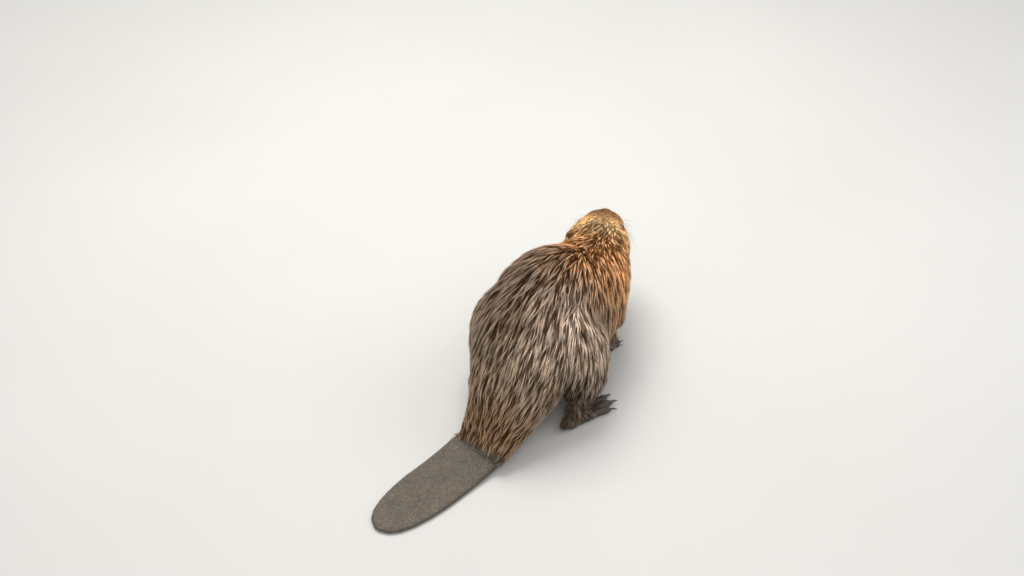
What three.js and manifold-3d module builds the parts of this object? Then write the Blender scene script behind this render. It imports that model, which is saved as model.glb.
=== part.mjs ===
// A Eurasian beaver, life size, standing on all fours with its back arched, its broad scaly tail laid flat
// behind it and its head up and turned a little to its left. Millimetres, +Z up, the animal faces -Y and its
// left side is +X. The origin is on the floor, in the middle of the animal's length and width.
import * as THREE from 'three';
import { LoftGeometry } from 'three/addons/geometries/LoftGeometry.js';
import { mergeVertices } from 'three/addons/utils/BufferGeometryUtils.js';
import Module from 'manifold-3d';

const wasm = await Module();
wasm.setup();

// ---------------------------------------------------------------- driving sizes
const GAP = 0.4; // between two neighbouring solids
const TAIL_YAW = 13; // degrees, the tail lies towards the animal's left
const HEAD_YAW = 19; // degrees, the head looks towards the animal's left
const HEAD_PITCH = 1; // degrees, nose up
const TAIL_LENGTH = 274; // bare scaly part, from the hair line to the tip
const TAIL_HALF_WIDTH = 61;
const HEAD_CENTRE = { forward: 500, left: 10, up: 185 }; // middle of the skull, between the ears
const EYE_RADIUS = 6.5;
const EAR_RADIUS = 15.5;
const HEEL = { forward: 172, side: 112 };
const HIND_FOOT_LENGTH = 118; // from the ankle to the base of the claws
const HIND_FOOT_SPLAY = 14; // degrees, toes out
const HIND_CLAW_LENGTH = 18;
const HAND_LENGTH = 50; // from the wrist to the base of the claws
const HAND_SPLAY = 6;
const WRISTS = { left: { forward: 436, side: 72 }, right: { forward: 412, side: 68 } };
const ELBOW = { forward: 398, side: 84, up: 88 };
const CLAW_LENGTH = 12;
const WEB_THICKNESS = 5;

// Places are given as forward (from the tail's hair line towards the nose), left and up.
const place = (forward, left, up) => new THREE.Vector3(left, -forward, up);
const UP = new THREE.Vector3(0, 0, 1);
const FORWARD = place(1, 0, 0);
const radians = THREE.MathUtils.degToRad;

// ---------------------------------------------------------------- materials
const finish = (color, roughness) => new THREE.MeshStandardMaterial({ color, roughness, metalness: 0 });
const FUR_DARK = finish(0x4a3a2c, 0.75);
const FUR_BROWN = finish(0x6b4d31, 0.75);
const FUR_GOLD = finish(0x9a7140, 0.75);
const SCALES = finish(0x3d3935, 0.6);
const BARE_SKIN = finish(0x2f2a27, 0.6);
const CLAW_HORN = finish(0x2a2320, 0.45);
const EYE_DARK = finish(0x0c0806, 0.1);

// ---------------------------------------------------------------- solids
/** A closed geometry as a solid. Its shared corners are merged and its faces made to point out. */
function solidOf(geometry) {
  const bare = new THREE.BufferGeometry();
  bare.setAttribute('position', geometry.getAttribute('position'));
  bare.setIndex(geometry.getIndex());
  const merged = mergeVertices(bare, 1e-3);
  const corners = merged.index.array;
  const kept = [];
  for (let i = 0; i < corners.length; i += 3) {
    const [a, b, c] = corners.subarray(i, i + 3);
    if (a !== b && b !== c && c !== a) kept.push(a, b, c);
  }
  const make = (triangles) => new wasm.Manifold(new wasm.Mesh({
    numProp: 3,
    vertProperties: new Float32Array(merged.attributes.position.array),
    triVerts: new Uint32Array(triangles),
  }));
  const solid = make(kept);
  return solid.volume() > 0 ? solid : make(kept.reverse());
}

function geometryOf(solid) {
  const mesh = solid.getMesh();
  const geometry = new THREE.BufferGeometry();
  geometry.setAttribute('position', new THREE.BufferAttribute(mesh.vertProperties, 3));
  geometry.setIndex(new THREE.BufferAttribute(mesh.triVerts, 1));
  geometry.computeVertexNormals();
  return geometry;
}

const joined = (solids) => solids.reduce((whole, next) => whole.add(next));
const cut = (solid, tools) => tools.reduce((rest, tool) => rest.subtract(tool), solid);

/** The largest of a solid's bodies, without the slivers that a cut can leave beside it. */
const mainBody = (solid) => solid.decompose().sort((a, b) => b.volume() - a.volume())[0];

/** A box that fills everything on one side of the plane through a point. */
function halfSpace(point, normal, reach = 1500) {
  const box = new THREE.BoxGeometry(reach, reach, reach);
  box.translate(0, 0, reach / 2);
  box.applyQuaternion(new THREE.Quaternion().setFromUnitVectors(UP, normal.clone().normalize()));
  box.translate(point.x, point.y, point.z);
  return solidOf(box);
}

/** A tube of changing section through stations. Each station is [centre, half width, above, below]. */
function flesh(stations, { around = 16, along = 12, up = UP, square = 2.2, grow = 0, blunt = 0.35 } = {}) {
  const centres = new THREE.CatmullRomCurve3(stations.map((s) => s[0]), false, 'centripetal');
  const girths = new THREE.CatmullRomCurve3(stations.map((s) => new THREE.Vector3(s[1], s[2], s[3])));
  const sections = [];
  for (let i = 0; i <= along; i++) {
    const t = i / along;
    const centre = centres.getPoint(t);
    const girth = girths.getPoint(t);
    const tangent = centres.getTangent(t);
    if (i === 0 || i === along) centre.addScaledVector(tangent, i === 0 ? -grow : grow);
    const side = new THREE.Vector3().crossVectors(up, tangent).normalize();
    const above = new THREE.Vector3().crossVectors(tangent, side).normalize();
    const toEnd = Math.min(t, 1 - t) / (1.5 / along);
    const round = toEnd >= 1 ? 1 : blunt + (1 - blunt) * Math.sqrt(1 - (1 - toEnd) ** 2);
    const ring = [];
    for (let j = 0; j < around; j++) {
      const angle = (j / around) * 2 * Math.PI;
      const across = Math.sign(Math.cos(angle)) * Math.abs(Math.cos(angle)) ** (2 / square);
      const rise = Math.sign(Math.sin(angle)) * Math.abs(Math.sin(angle)) ** (2 / square);
      const tall = rise > 0 ? girth.y : girth.z;
      ring.push(centre.clone()
        .addScaledVector(side, across * (girth.x * round + grow))
        .addScaledVector(above, rise * (tall * round + grow)));
    }
    sections.push(ring);
  }
  return solidOf(new LoftGeometry(sections, { capStart: true, capEnd: true }));
}

function ball(centre, radii, turn = new THREE.Euler(), detail = [10, 7]) {
  const geometry = new THREE.SphereGeometry(1, ...detail);
  geometry.scale(...radii);
  geometry.applyMatrix4(new THREE.Matrix4().makeRotationFromEuler(turn));
  geometry.translate(centre.x, centre.y, centre.z);
  return solidOf(geometry);
}

const aboveFloor = halfSpace(new THREE.Vector3(), UP);
const onFloor = (solid) => solid.intersect(aboveFloor);

// ---------------------------------------------------------------- trunk, neck and tail root
// forward, left, up, half width, above, below
const SPINE = [
  [-4, 2, 22, 51, 13, 15],
  [14, -3, 29, 62, 21, 23],
  [48, -9, 48, 67, 44, 38],
  [88, -11, 74, 76, 70, 58],
  [132, -9, 102, 94, 98, 76],
  [185, -2, 126, 118, 124, 90],
  [245, 1, 142, 128, 142, 102],
  [305, 4, 150, 129, 146, 108],
  [362, 0, 154, 120, 138, 110],
  [412, -6, 161, 108, 117, 104],
  [452, -6, 171, 92, 92, 88],
  [486, -3, 180, 78, 73, 68],
  [520, 6, 188, 62, 54, 55],
];
const spineStations = SPINE.map(([f, l, u, half, above, below]) => [place(f, l, u), half, above, below]);
const trunkLoft = (grow) => flesh(spineStations, { around: 28, along: 19, square: 2.3, grow });

const TAIL_ROOT_END = place(62, -8, 50);
const TAIL_ROOT_AXIS = place(1, 0, 0.45).normalize();
const NECK_START = place(438, -6, 165);
const NECK_AXIS = place(1, 0.12, 0.1).normalize();

// ---------------------------------------------------------------- head
const headTurn = new THREE.Matrix4()
  .makeRotationZ(radians(HEAD_YAW))
  .multiply(new THREE.Matrix4().makeRotationX(radians(-HEAD_PITCH)))
  .setPosition(place(HEAD_CENTRE.forward, HEAD_CENTRE.left, HEAD_CENTRE.up));
/** A place on the head: ahead of the ears, to the animal's left, and above the skull's middle. */
const onHead = (ahead, left, up) => place(ahead, left, up).applyMatrix4(headTurn);
const headUp = UP.clone().transformDirection(headTurn);

// ahead, up, half width, above, below
const SKULL = [
  [-52, -4, 61, 50, 52],
  [-24, -2, 70, 58, 62],
  [6, 0, 74, 61, 66],
  [36, -1, 71, 58, 62],
  [62, -3, 64, 51, 53],
  [86, -5, 54, 43, 45],
  [106, -7, 47, 37, 39],
  [122, -8, 42, 32, 35],
  [136, -9, 35, 27, 30],
];
const JAW = [
  [14, -36, 48, 24, 26],
  [44, -42, 42, 24, 20],
  [72, -44, 34, 22, 17],
  [94, -43, 26, 18, 15],
  [112, -40, 17, 13, 12],
];
const headLoft = (rows, options) => flesh(
  rows.map(([ahead, up, half, above, below]) => [onHead(ahead, 0, up), half, above, below]),
  { up: headUp, ...options },
);
const headShape = (grow) => joined([
  headLoft(SKULL, { around: 20, along: 13, square: 2.15, blunt: 0.6, grow }),
  headLoft(JAW, { around: 12, along: 5, square: 2.2, grow }),
]);

const EYE = { ahead: 64, side: 44.4, up: 26.4 };
const EAR = { ahead: -5, side: 52, up: 43 };

function ear(side) {
  const centre = onHead(EAR.ahead, side * EAR.side, EAR.up);
  const lean = new THREE.Euler(radians(-14), radians(side * 34), radians(HEAD_YAW + side * 28));
  const shell = ball(centre, [EAR_RADIUS * 0.95, 6, EAR_RADIUS * 1.1], lean, [12, 8]);
  const hollow = new THREE.Vector3(0, -5.5, 2).applyEuler(lean).add(centre);
  return shell.subtract(ball(hollow, [EAR_RADIUS * 0.74, 6, EAR_RADIUS * 0.86], lean, [10, 6]));
}

// ---------------------------------------------------------------- limbs
// Stations of a limb: forward, side, up, half across, ahead, behind.
const limb = (rows, side, options = {}) => flesh(
  rows.map(([f, s, u, half, ahead, behind]) => [place(f, side * s, u), half, ahead, behind]),
  { up: FORWARD, around: 14, along: 8, ...options },
);
const THIGH = [
  [226, 46, 256, 22, 30, 30],
  [230, 76, 224, 40, 62, 58],
  [237, 85, 176, 57, 86, 80],
  [241, 91, 128, 60, 87, 76],
  [240, 101, 90, 52, 80, 72],
  [232, 108, 58, 42, 66, 64],
  [222, 112, 32, 28, 46, 50],
];
const SHANK = [
  [258, 112, 72, 26, 34, 34],
  [228, 114, 50, 25, 32, 32],
  [196, 114, 36, 22, 27, 26],
  [172, 113, 26, 17, 21, 17],
];
const UPPER_ARM = [
  [432, 54, 178, 24, 32, 30],
  [420, 74, 142, 34, 42, 38],
  [404, 84, 108, 30, 36, 32],
  [398, 85, 84, 22, 26, 26],
];
/** The forearm runs from the elbow to one wrist. Share of the way, half across, ahead and behind. */
const FOREARM = [[-0.1, 23, 27], [0.4, 21, 23], [0.8, 17, 18], [1.05, 15, 15]];
const forearmRows = ({ forward, side }) => FOREARM.map(([share, half, deep]) => [
  ELBOW.forward + (forward + 4 - ELBOW.forward) * share,
  ELBOW.side + (side - ELBOW.side) * share,
  ELBOW.up + (22 - ELBOW.up) * share,
  half, deep, deep,
]);

// Toes from the inner one out: degrees from the foot's own line, share of the foot's length, radius.
const HIND_TOES = [[-25, 0.74, 7.5], [-12, 0.9, 8.5], [0, 1, 9.2], [12, 0.98, 9], [24, 0.86, 8]];
const FINGERS = [[-38, 0.66, 4.4], [-17, 0.92, 5], [0, 1, 5.3], [17, 0.94, 5], [36, 0.76, 4.5]];

/** A foot's frame: its ankle, the way it points, and its side. */
function footFrame({ forward, side: sideways }, side, splay) {
  const turn = radians(side * splay);
  const ahead = place(Math.cos(turn), Math.sin(turn), 0);
  const out = place(-Math.sin(turn), Math.cos(turn), 0).multiplyScalar(side);
  const heel = place(forward, side * sideways, 0);
  return (a, o, u) => heel.clone().addScaledVector(ahead, a).addScaledVector(out, o).addScaledVector(UP, u);
}

/** The middle line of one toe, from the foot's root over the knuckle to where the claw starts. */
function toeLine(at, [degrees, share, radius], length, root, knuckle) {
  const turn = radians(degrees);
  const reach = length * share - root;
  const fan = root * 0.42 * Math.sin(turn);
  const along = (t, up) => at(root + reach * t * Math.cos(turn), reach * t * Math.sin(turn) + fan, up);
  return [
    along(0, radius + knuckle * 0.7),
    along(0.45, radius + knuckle),
    along(0.8, radius + knuckle * 0.35),
    along(1, radius - 1),
  ];
}
const HIND_ROOT = HIND_FOOT_LENGTH * 0.34;
const HAND_ROOT = HAND_LENGTH * 0.42;
const hindToe = (at, toe) => toeLine(at, toe, HIND_FOOT_LENGTH, HIND_ROOT, 5);
const finger = (at, toe) => toeLine(at, toe, HAND_LENGTH, HAND_ROOT, 2.4);

/** A toe round its middle line, thinner at its end, deep enough below to be pressed flat by the floor. */
const toeFlesh = (line, radius, around) => flesh(
  line.map((point, i) => [point, radius * (i === 3 ? 0.8 : 1), radius * 0.95, radius + 2]),
  { around, along: 3 },
);

function hindFoot(at) {
  const sole = flesh([
    [at(-20, 0, 16), 13, 13, 17],
    [at(0, 0, 17), 17, 17, 20],
    [at(26, 0, 15), 20, 14, 18],
    [at(52, 1, 11), 26, 10, 14],
    [at(70, 2, 9), 29, 7, 12],
  ], { around: 8, along: 4 });
  const toes = HIND_TOES.map((toe) => toeFlesh(hindToe(at, toe), toe[2], 6));
  return joined([sole, webbing(at), ...toes]);
}

/** The thin web between the hind toes, a fan whose edge dips between each two toes. */
function webbing(at) {
  const tips = HIND_TOES.map((toe) => toeLine(at, toe, HIND_FOOT_LENGTH * 0.93, HIND_ROOT, 0)[3]);
  const centre = at(HIND_ROOT, 0, 0);
  const dip = (i) => tips[i].clone().lerp(tips[i + 1], 0.5).lerp(centre, 0.16);
  const edge = tips.flatMap((tip, i) => (i + 1 < tips.length ? [tip, dip(i)] : [tip]));
  const outline = [at(HIND_ROOT * 0.8, -14, 0), ...edge, at(HIND_ROOT * 0.8, 14, 0)];
  const shape = new THREE.Shape(outline.map((p) => new THREE.Vector2(p.x, p.y)));
  return solidOf(new THREE.ExtrudeGeometry(shape, { depth: WEB_THICKNESS, bevelEnabled: false }));
}

function hand(at) {
  const palm = flesh([
    [at(-9, 0, 14), 13, 13, 16],
    [at(6, 0, 12), 15, 11, 14],
    [at(22, 0, 9), 17, 7, 11],
    [at(31, 0, 7), 16, 5, 9],
  ], { around: 8, along: 3 });
  return joined([palm, ...FINGERS.map((toe) => toeFlesh(finger(at, toe), toe[2], 5))]);
}

/** A claw that carries a toe's line on and curves down, its tip just clear of the floor. */
function claw(line, radius, length, flat) {
  const ahead = line[3].clone().sub(line[1]).setZ(0).normalize();
  const from = line[3].clone().addScaledVector(ahead, -radius * 0.6);
  const row = (t, up, share) => [
    from.clone().addScaledVector(ahead, length * t).setZ(radius * up),
    radius * share * flat,
    radius * share * 0.7,
    radius * share * 0.7,
  ];
  const rows = [row(0, 1.1, 0.8), row(0.5, 1.15, 0.66), row(0.85, 0.8, 0.42), row(1.1, 0.5, 0.2)];
  return flesh(rows, { around: 5, along: 2 });
}

// ---------------------------------------------------------------- tail
const HAIR_LINE = place(6, 6, 0); // middle of the line where the fur ends and the scales start
const tailTurn = new THREE.Matrix4().makeRotationZ(radians(-TAIL_YAW)).setPosition(HAIR_LINE);
const onTail = (back, left, up) => place(-back, left, up).applyMatrix4(tailTurn);
// share of the bare length, share of the half width, above, below
const PADDLE = [
  [-0.2, 0.84, 16, 16],
  [-0.06, 0.98, 15, 15],
  [0.1, 1, 12, 12],
  [0.28, 1, 9, 10],
  [0.5, 1, 7.5, 9],
  [0.68, 0.93, 6.2, 8],
  [0.84, 0.76, 5.2, 7],
  [0.94, 0.52, 4.2, 6],
  [0.99, 0.22, 3, 5],
];
/** How high the middle of the tail lies: it comes down from the rump and then lies on the floor. */
const paddleUp = (share) => Math.max(5.5, 20 - 42 * Math.max(0, share + 0.14));
const paddle = () => flesh(
  PADDLE.map(([share, half, above, below]) => [
    onTail(share * TAIL_LENGTH, 0, paddleUp(share)), half * TAIL_HALF_WIDTH, above, below,
  ]),
  { around: 16, along: 10, square: 2.6, blunt: 0.5 },
);

// ---------------------------------------------------------------- parting the body
const group = new THREE.Group();
group.name = 'beaver';
function add(name, solid, material) {
  const mesh = new THREE.Mesh(geometryOf(solid), material);
  mesh.name = name;
  group.add(mesh);
}

const head = headShape(0);
const headGrown = headShape(GAP);
const trunkWhole = onFloor(trunkLoft(0));
const trunkGrown = trunkLoft(GAP);
const sides = [['left', 1], ['right', -1]];

const behindRoot = halfSpace(TAIL_ROOT_END, TAIL_ROOT_AXIS.clone().negate());
const afterRoot = halfSpace(TAIL_ROOT_END.clone().addScaledVector(TAIL_ROOT_AXIS, GAP), TAIL_ROOT_AXIS);
const beforeNeck = halfSpace(NECK_START, NECK_AXIS.clone().negate());
const fromNeck = halfSpace(NECK_START.clone().addScaledVector(NECK_AXIS, GAP), NECK_AXIS);
add('tail_root', mainBody(trunkWhole.intersect(behindRoot)), FUR_BROWN);
add('trunk', mainBody(trunkWhole.intersect(afterRoot).intersect(beforeNeck)), FUR_DARK);
add('neck', mainBody(cut(trunkWhole.intersect(fromNeck), [headGrown])), FUR_BROWN);
add('tail_paddle', mainBody(onFloor(paddle()).subtract(trunkGrown)), SCALES);

const eyes = sides.map(([name, side]) => [name, (grow) => ball(
  onHead(EYE.ahead, side * EYE.side, EYE.up), [EYE_RADIUS + grow, EYE_RADIUS + grow, EYE_RADIUS + grow],
)]);
const NOSE_CENTRE = onHead(137, 0, 5);
const noseTurn = new THREE.Euler(0, 0, radians(HEAD_YAW));
add('head', mainBody(cut(head, eyes.map(([, eye]) => eye(GAP)))), FUR_GOLD);
eyes.forEach(([name, eye]) => add(`eye_${name}`, eye(0), EYE_DARK));
for (const [name, side] of sides) {
  add(`ear_${name}`, mainBody(cut(ear(side), [headGrown, trunkGrown])), FUR_BROWN);
}
add('nose', mainBody(ball(NOSE_CENTRE, [16, 9, 12], noseTurn).subtract(headGrown)), BARE_SKIN);

for (const [name, side] of sides) {
  const forearm = (grow) => limb(forearmRows(WRISTS[name]), side, { grow, around: 10, along: 4 });
  const shank = (grow) => limb(SHANK, side, { grow, around: 12, along: 6 });
  const thighGrown = limb(THIGH, side, { grow: GAP });
  const armGrown = limb(UPPER_ARM, side, { grow: GAP });
  const hindAt = footFrame(HEEL, side, HIND_FOOT_SPLAY);
  const handAt = footFrame(WRISTS[name], side, HAND_SPLAY);
  const foot = onFloor(hindFoot(hindAt));
  const paw = onFloor(hand(handAt));

  add(`thigh_${name}`, mainBody(limb(THIGH, side).subtract(trunkGrown)), FUR_DARK);
  add(`hind_leg_${name}`, mainBody(cut(shank(0), [thighGrown, trunkGrown])), FUR_DARK);
  add(`hind_foot_${name}`, mainBody(cut(foot, [shank(GAP), thighGrown])), BARE_SKIN);
  add(`upper_arm_${name}`, mainBody(limb(UPPER_ARM, side).subtract(trunkGrown)), FUR_BROWN);
  add(`forearm_${name}`, mainBody(cut(forearm(0), [armGrown, trunkGrown])), FUR_BROWN);
  add(`hand_${name}`, mainBody(paw.subtract(forearm(GAP))), BARE_SKIN);

  HIND_TOES.forEach((toe, i) => {
    const nail = claw(hindToe(hindAt, toe), toe[2], HIND_CLAW_LENGTH, 0.8);
    add(`hind_claw_${name}_${i + 1}`, mainBody(nail.subtract(foot)), CLAW_HORN);
  });
  FINGERS.forEach((toe, i) => {
    const nail = claw(finger(handAt, toe), toe[2], CLAW_LENGTH, 0.6);
    add(`claw_${name}_${i + 1}`, mainBody(nail.subtract(paw)), CLAW_HORN);
  });
}

// The origin goes to the floor under the middle of the whole animal.
group.updateMatrixWorld(true);
const bounds = new THREE.Box3().setFromObject(group);
const middle = bounds.getCenter(new THREE.Vector3());
group.position.set(-middle.x, -middle.y, -bounds.min.z);

export default group;
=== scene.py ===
# %% [markdown]
# # A Eurasian beaver, life size
# A museum-style model of a beaver on all fours, its back arched, its scaly tail flat on the floor behind it.
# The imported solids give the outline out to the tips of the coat. Here they become one skin, and on the skin
# grows a coat of solid mesh hairs gathered in damp locks. Everything is in metres, in the frame of the solids.

# %% Load the frame
import math
import bmesh
import bpy
import numpy as np
from mathutils import Matrix, Vector
from mathutils.bvhtree import BVHTree
from mathutils.kdtree import KDTree


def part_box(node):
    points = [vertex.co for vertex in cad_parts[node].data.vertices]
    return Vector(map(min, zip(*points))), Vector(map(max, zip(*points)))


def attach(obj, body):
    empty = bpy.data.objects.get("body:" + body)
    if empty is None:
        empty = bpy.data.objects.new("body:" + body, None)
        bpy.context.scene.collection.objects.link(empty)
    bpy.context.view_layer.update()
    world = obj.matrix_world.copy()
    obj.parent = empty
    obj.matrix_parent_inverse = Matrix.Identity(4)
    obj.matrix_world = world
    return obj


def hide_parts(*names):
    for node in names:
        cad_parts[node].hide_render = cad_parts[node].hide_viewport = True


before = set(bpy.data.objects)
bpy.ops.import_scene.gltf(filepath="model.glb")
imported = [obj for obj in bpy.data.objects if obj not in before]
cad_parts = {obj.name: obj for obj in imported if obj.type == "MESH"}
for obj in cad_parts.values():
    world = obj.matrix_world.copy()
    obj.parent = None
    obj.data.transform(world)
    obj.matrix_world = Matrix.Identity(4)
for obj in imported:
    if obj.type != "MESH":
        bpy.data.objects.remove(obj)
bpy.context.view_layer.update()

# %% [markdown]
# ## Places on the animal
# A beaver has no straight edges to measure from, so every place is given in three simple frames: the body
# (forward of the tail's hair line, to the left, up), the head (ahead of the ears, left, up) and the tail
# (back from the hair line, left, up), all in millimetres. The head is turned to its left and the tail lies to
# the left. The two eyes tell how far the body's frame is from the middle of the model.

# %% Body, head and tail frames
HEAD_CENTRE = (500, 10, 185)
HEAD_TURN = np.array(Matrix.Rotation(math.radians(19), 3, "Z") @ Matrix.Rotation(math.radians(-1), 3, "X"))
TAIL_TURN = np.array(Matrix.Rotation(math.radians(-13), 3, "Z"))
EYE_ON_HEAD = (64, 44.4, 26.4)
EYE_RADIUS = 0.0065

eyes = {side: sum(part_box(f"eye_{side}"), Vector()) / 2 for side in ("left", "right")}
eyes_middle = np.array((eyes["left"] + eyes["right"]) / 2)
ahead_of_centre = HEAD_TURN @ np.array([0, -EYE_ON_HEAD[0], EYE_ON_HEAD[2]]) / 1000
HAIR_LINE_Y = eyes_middle[1] - ahead_of_centre[1] + HEAD_CENTRE[0] / 1000


def axes(forward, left, up):
    """Millimetres forward, left and up as metres along X, Y and Z."""
    return np.stack(np.broadcast_arrays(left, -np.asarray(forward, float), up), -1) / 1000.0


def place(forward, left, up):
    return axes(forward, left, up) + [0, HAIR_LINE_Y, 0]


def on_head(ahead, left, up):
    return axes(ahead, left, up) @ HEAD_TURN.T + place(*HEAD_CENTRE)


def on_tail(back, left, up):
    return axes(-np.asarray(back, float), left, up) @ TAIL_TURN.T + place(6, 6, 0)


def head_frame(points):
    """Points in metres as millimetres ahead, left and up on the head."""
    local = (points - place(*HEAD_CENTRE)) @ HEAD_TURN * 1000
    return -local[..., 1], local[..., 0], local[..., 2]


def body_frame(points):
    return (HAIR_LINE_Y - points[..., 1]) * 1000, points[..., 0] * 1000, points[..., 2] * 1000


def tail_frame(points):
    local = (points - place(6, 6, 0)) @ TAIL_TURN * 1000
    return local[..., 1], local[..., 0], local[..., 2]


print("hair line at y =", round(HAIR_LINE_Y, 4), "eye from its place", np.round(on_head(*EYE_ON_HEAD) - eyes["left"], 4))

# %% [markdown]
# ## Camera, floor and light
# The animal is seen from behind, from its right and from above, by someone standing about three metres away.
# A long lens keeps it natural. The floor is plain and pale, and the light is a wide soft sky, as on a bright
# overcast day: one large panel high up on the left, a weaker one on the right and a pale surround.

# %% Camera
AZIMUTH, PITCH, DISTANCE, FOCAL = math.radians(211), math.radians(40), 3.1, 1500.0
AIM, AIM_PIXEL, IMAGE = Vector(place(245.5, -1.4, 120)), (540, 345), (1024, 576)

right = Vector((math.cos(AZIMUTH), math.sin(AZIMUTH), 0))
level = Vector((-math.sin(AZIMUTH), math.cos(AZIMUTH), 0))
look = level * math.cos(PITCH) - Vector((0, 0, 1)) * math.sin(PITCH)
above = right.cross(look)
sight = look * FOCAL + right * (AIM_PIXEL[0] - IMAGE[0] / 2) - above * (AIM_PIXEL[1] - IMAGE[1] / 2)
camera = bpy.data.objects.new("camera", bpy.data.cameras.new("camera"))
camera.data.lens = FOCAL * 36 / IMAGE[0]
camera.data.clip_end = 50
camera.location = AIM - sight.normalized() * DISTANCE
camera.rotation_euler = look.to_track_quat("-Z", "Y").to_euler()
bpy.context.collection.objects.link(camera)
bpy.context.scene.camera = camera
print("camera", tuple(round(v, 3) for v in camera.location), "lens", round(camera.data.lens, 1), "mm")

# %% Soft light
def panel(name, where, size, watts, colour):
    """A square area light that faces the middle of the animal."""
    light = bpy.data.lights.new(name, "AREA")
    light.size, light.energy, light.color = size, watts, colour
    lamp = bpy.data.objects.new(name, light)
    lamp.location = where
    lamp.rotation_euler = (AIM - Vector(where)).to_track_quat("-Z", "Y").to_euler()
    bpy.context.collection.objects.link(lamp)
    return lamp


ground = Vector((AIM.x, AIM.y, 0))
panel("sky_panel", ground - right * 0.4 + level * 1.1 + Vector((0, 0, 2.7)), 1.7, 74, (1, 0.985, 0.955))
panel("far_panel", ground + right * 1.9 + level * 0.4 + Vector((0, 0, 1.9)), 1.4, 12, (0.97, 0.98, 1))
panel("near_panel", ground - level * 2.2 + Vector((0, 0, 2.4)), 1.6, 16, (1, 0.98, 0.95))
world = bpy.data.worlds.new("pale surround")
world.use_nodes = True
world.node_tree.nodes["Background"].inputs["Color"].default_value = (0.86, 0.87, 0.87, 1)
world.node_tree.nodes["Background"].inputs["Strength"].default_value = 0.75
bpy.context.scene.world = world
bpy.context.scene.view_settings.view_transform = "Standard"

# %% [markdown]
# ## Helpers for materials
# A finish is a small tree of nodes. These two helpers keep the trees short: one adds a node with its values,
# the other makes a material whose shader is ready to be fed.

# %% Node helpers
def node(tree, kind, values=None, **settings):
    """A new node. values are put on its sockets, or linked to them when they are sockets."""
    made = tree.nodes.new(kind)
    for key, value in settings.items():
        setattr(made, key, value)
    for key, value in (values or {}).items():
        if isinstance(value, bpy.types.NodeSocket):
            tree.links.new(value, made.inputs[key])
        else:
            made.inputs[key].default_value = value
    return made


def finish_tree(name):
    """A material with a Principled shader. Returns the material, its tree and the shader."""
    material = bpy.data.materials.new(name)
    material.use_nodes = True
    return material, material.node_tree, material.node_tree.nodes["Principled BSDF"]


def linear(red, green, blue):
    """A colour seen on a screen, 0 to 255, as the amount of light that a shader works with."""
    share = np.array([red, green, blue]) / 255.0
    return tuple(np.where(share > 0.04045, ((share + 0.055) / 1.055) ** 2.4, share / 12.92))


def maths(tree, operation, *values):
    """One arithmetic step and its result."""
    return node(tree, "ShaderNodeMath", dict(enumerate(values)), operation=operation).outputs[0]


def ease(tree, value, low, high, start=0.0, end=1.0):
    """A smooth change from start to end while value goes from low to high."""
    made = node(tree, "ShaderNodeMapRange", {"Value": value}, interpolation_type="SMOOTHSTEP")
    for key, number in (("From Min", low), ("From Max", high), ("To Min", start), ("To Max", end)):
        made.inputs[key].default_value = number
    return made.outputs["Result"]


print("material helpers ready")

# %% The floor
floor_finish, tree, shader = finish_tree("pale floor")
spots = node(tree, "ShaderNodeTexCoord").outputs["Object"]
cloud = node(tree, "ShaderNodeTexNoise", {"Vector": spots, "Scale": 1.3, "Detail": 4.0}).outputs["Fac"]
tone = node(tree, "ShaderNodeValToRGB", {"Fac": cloud})
tone.color_ramp.elements[0].color = (0.54, 0.53, 0.51, 1)
tone.color_ramp.elements[1].color = (0.61, 0.60, 0.58, 1)
tree.links.new(tone.outputs["Color"], shader.inputs["Base Color"])
shader.inputs["Roughness"].default_value = 0.85

slab = bmesh.new()
bmesh.ops.create_circle(slab, cap_ends=True, segments=64, radius=9)
floor_mesh = bpy.data.meshes.new("floor")
slab.to_mesh(floor_mesh)
slab.free()
floor = bpy.data.objects.new("floor", floor_mesh)
floor_mesh.materials.append(floor_finish)
bpy.context.collection.objects.link(floor)
print("floor", len(floor_mesh.polygons), "face")

# %% [markdown]
# ## The lie of the coat
# Fur isn't combed at random: it streams back from the nose, parts along the spine, falls down the flanks and
# thighs and runs on over the tail's root. One table holds this, as a few dozen stations. Each says where it
# is, which way the hair lies there, how long and how deep the coat is, how many hairs stand on a square
# centimetre, how much they clump, and the colour. Any place on the skin takes a smooth blend of the stations
# round it, so the skin and every hair on it share the same markings. Stations on the left are mirrored, and
# those with a negative side are on the right only. The pale silver ones there are painted sheen: the wet
# coat's highlight on the right hip and thigh, painted into its colour.

# %% Colours of the coat
TONES = {
    "dark": (106, 81, 59), "brown": (114, 84, 57), "russet": (204, 146, 84), "gold": (178, 134, 84),
    # The bright blond tone is pale fur, lightened further as painted sunlight on the top of the head.
    "golden": (190, 148, 94), "sunlit_blond": (252, 228, 172), "crown": (118, 80, 45), "flank": (138, 109, 77),
    # The pale silver-grey tone is painted sheen, the wet coat's highlight on the right hip and thigh.
    "painted_sheen": (232, 212, 196), "thigh": (146, 129, 112), "rump": (134, 115, 94), "root": (118, 88, 56),
    "ridge": (92, 70, 51), "belly": (132, 108, 80), "leg": (76, 62, 47), "ear": (150, 112, 72), "shade": (92, 66, 42),
}

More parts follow.
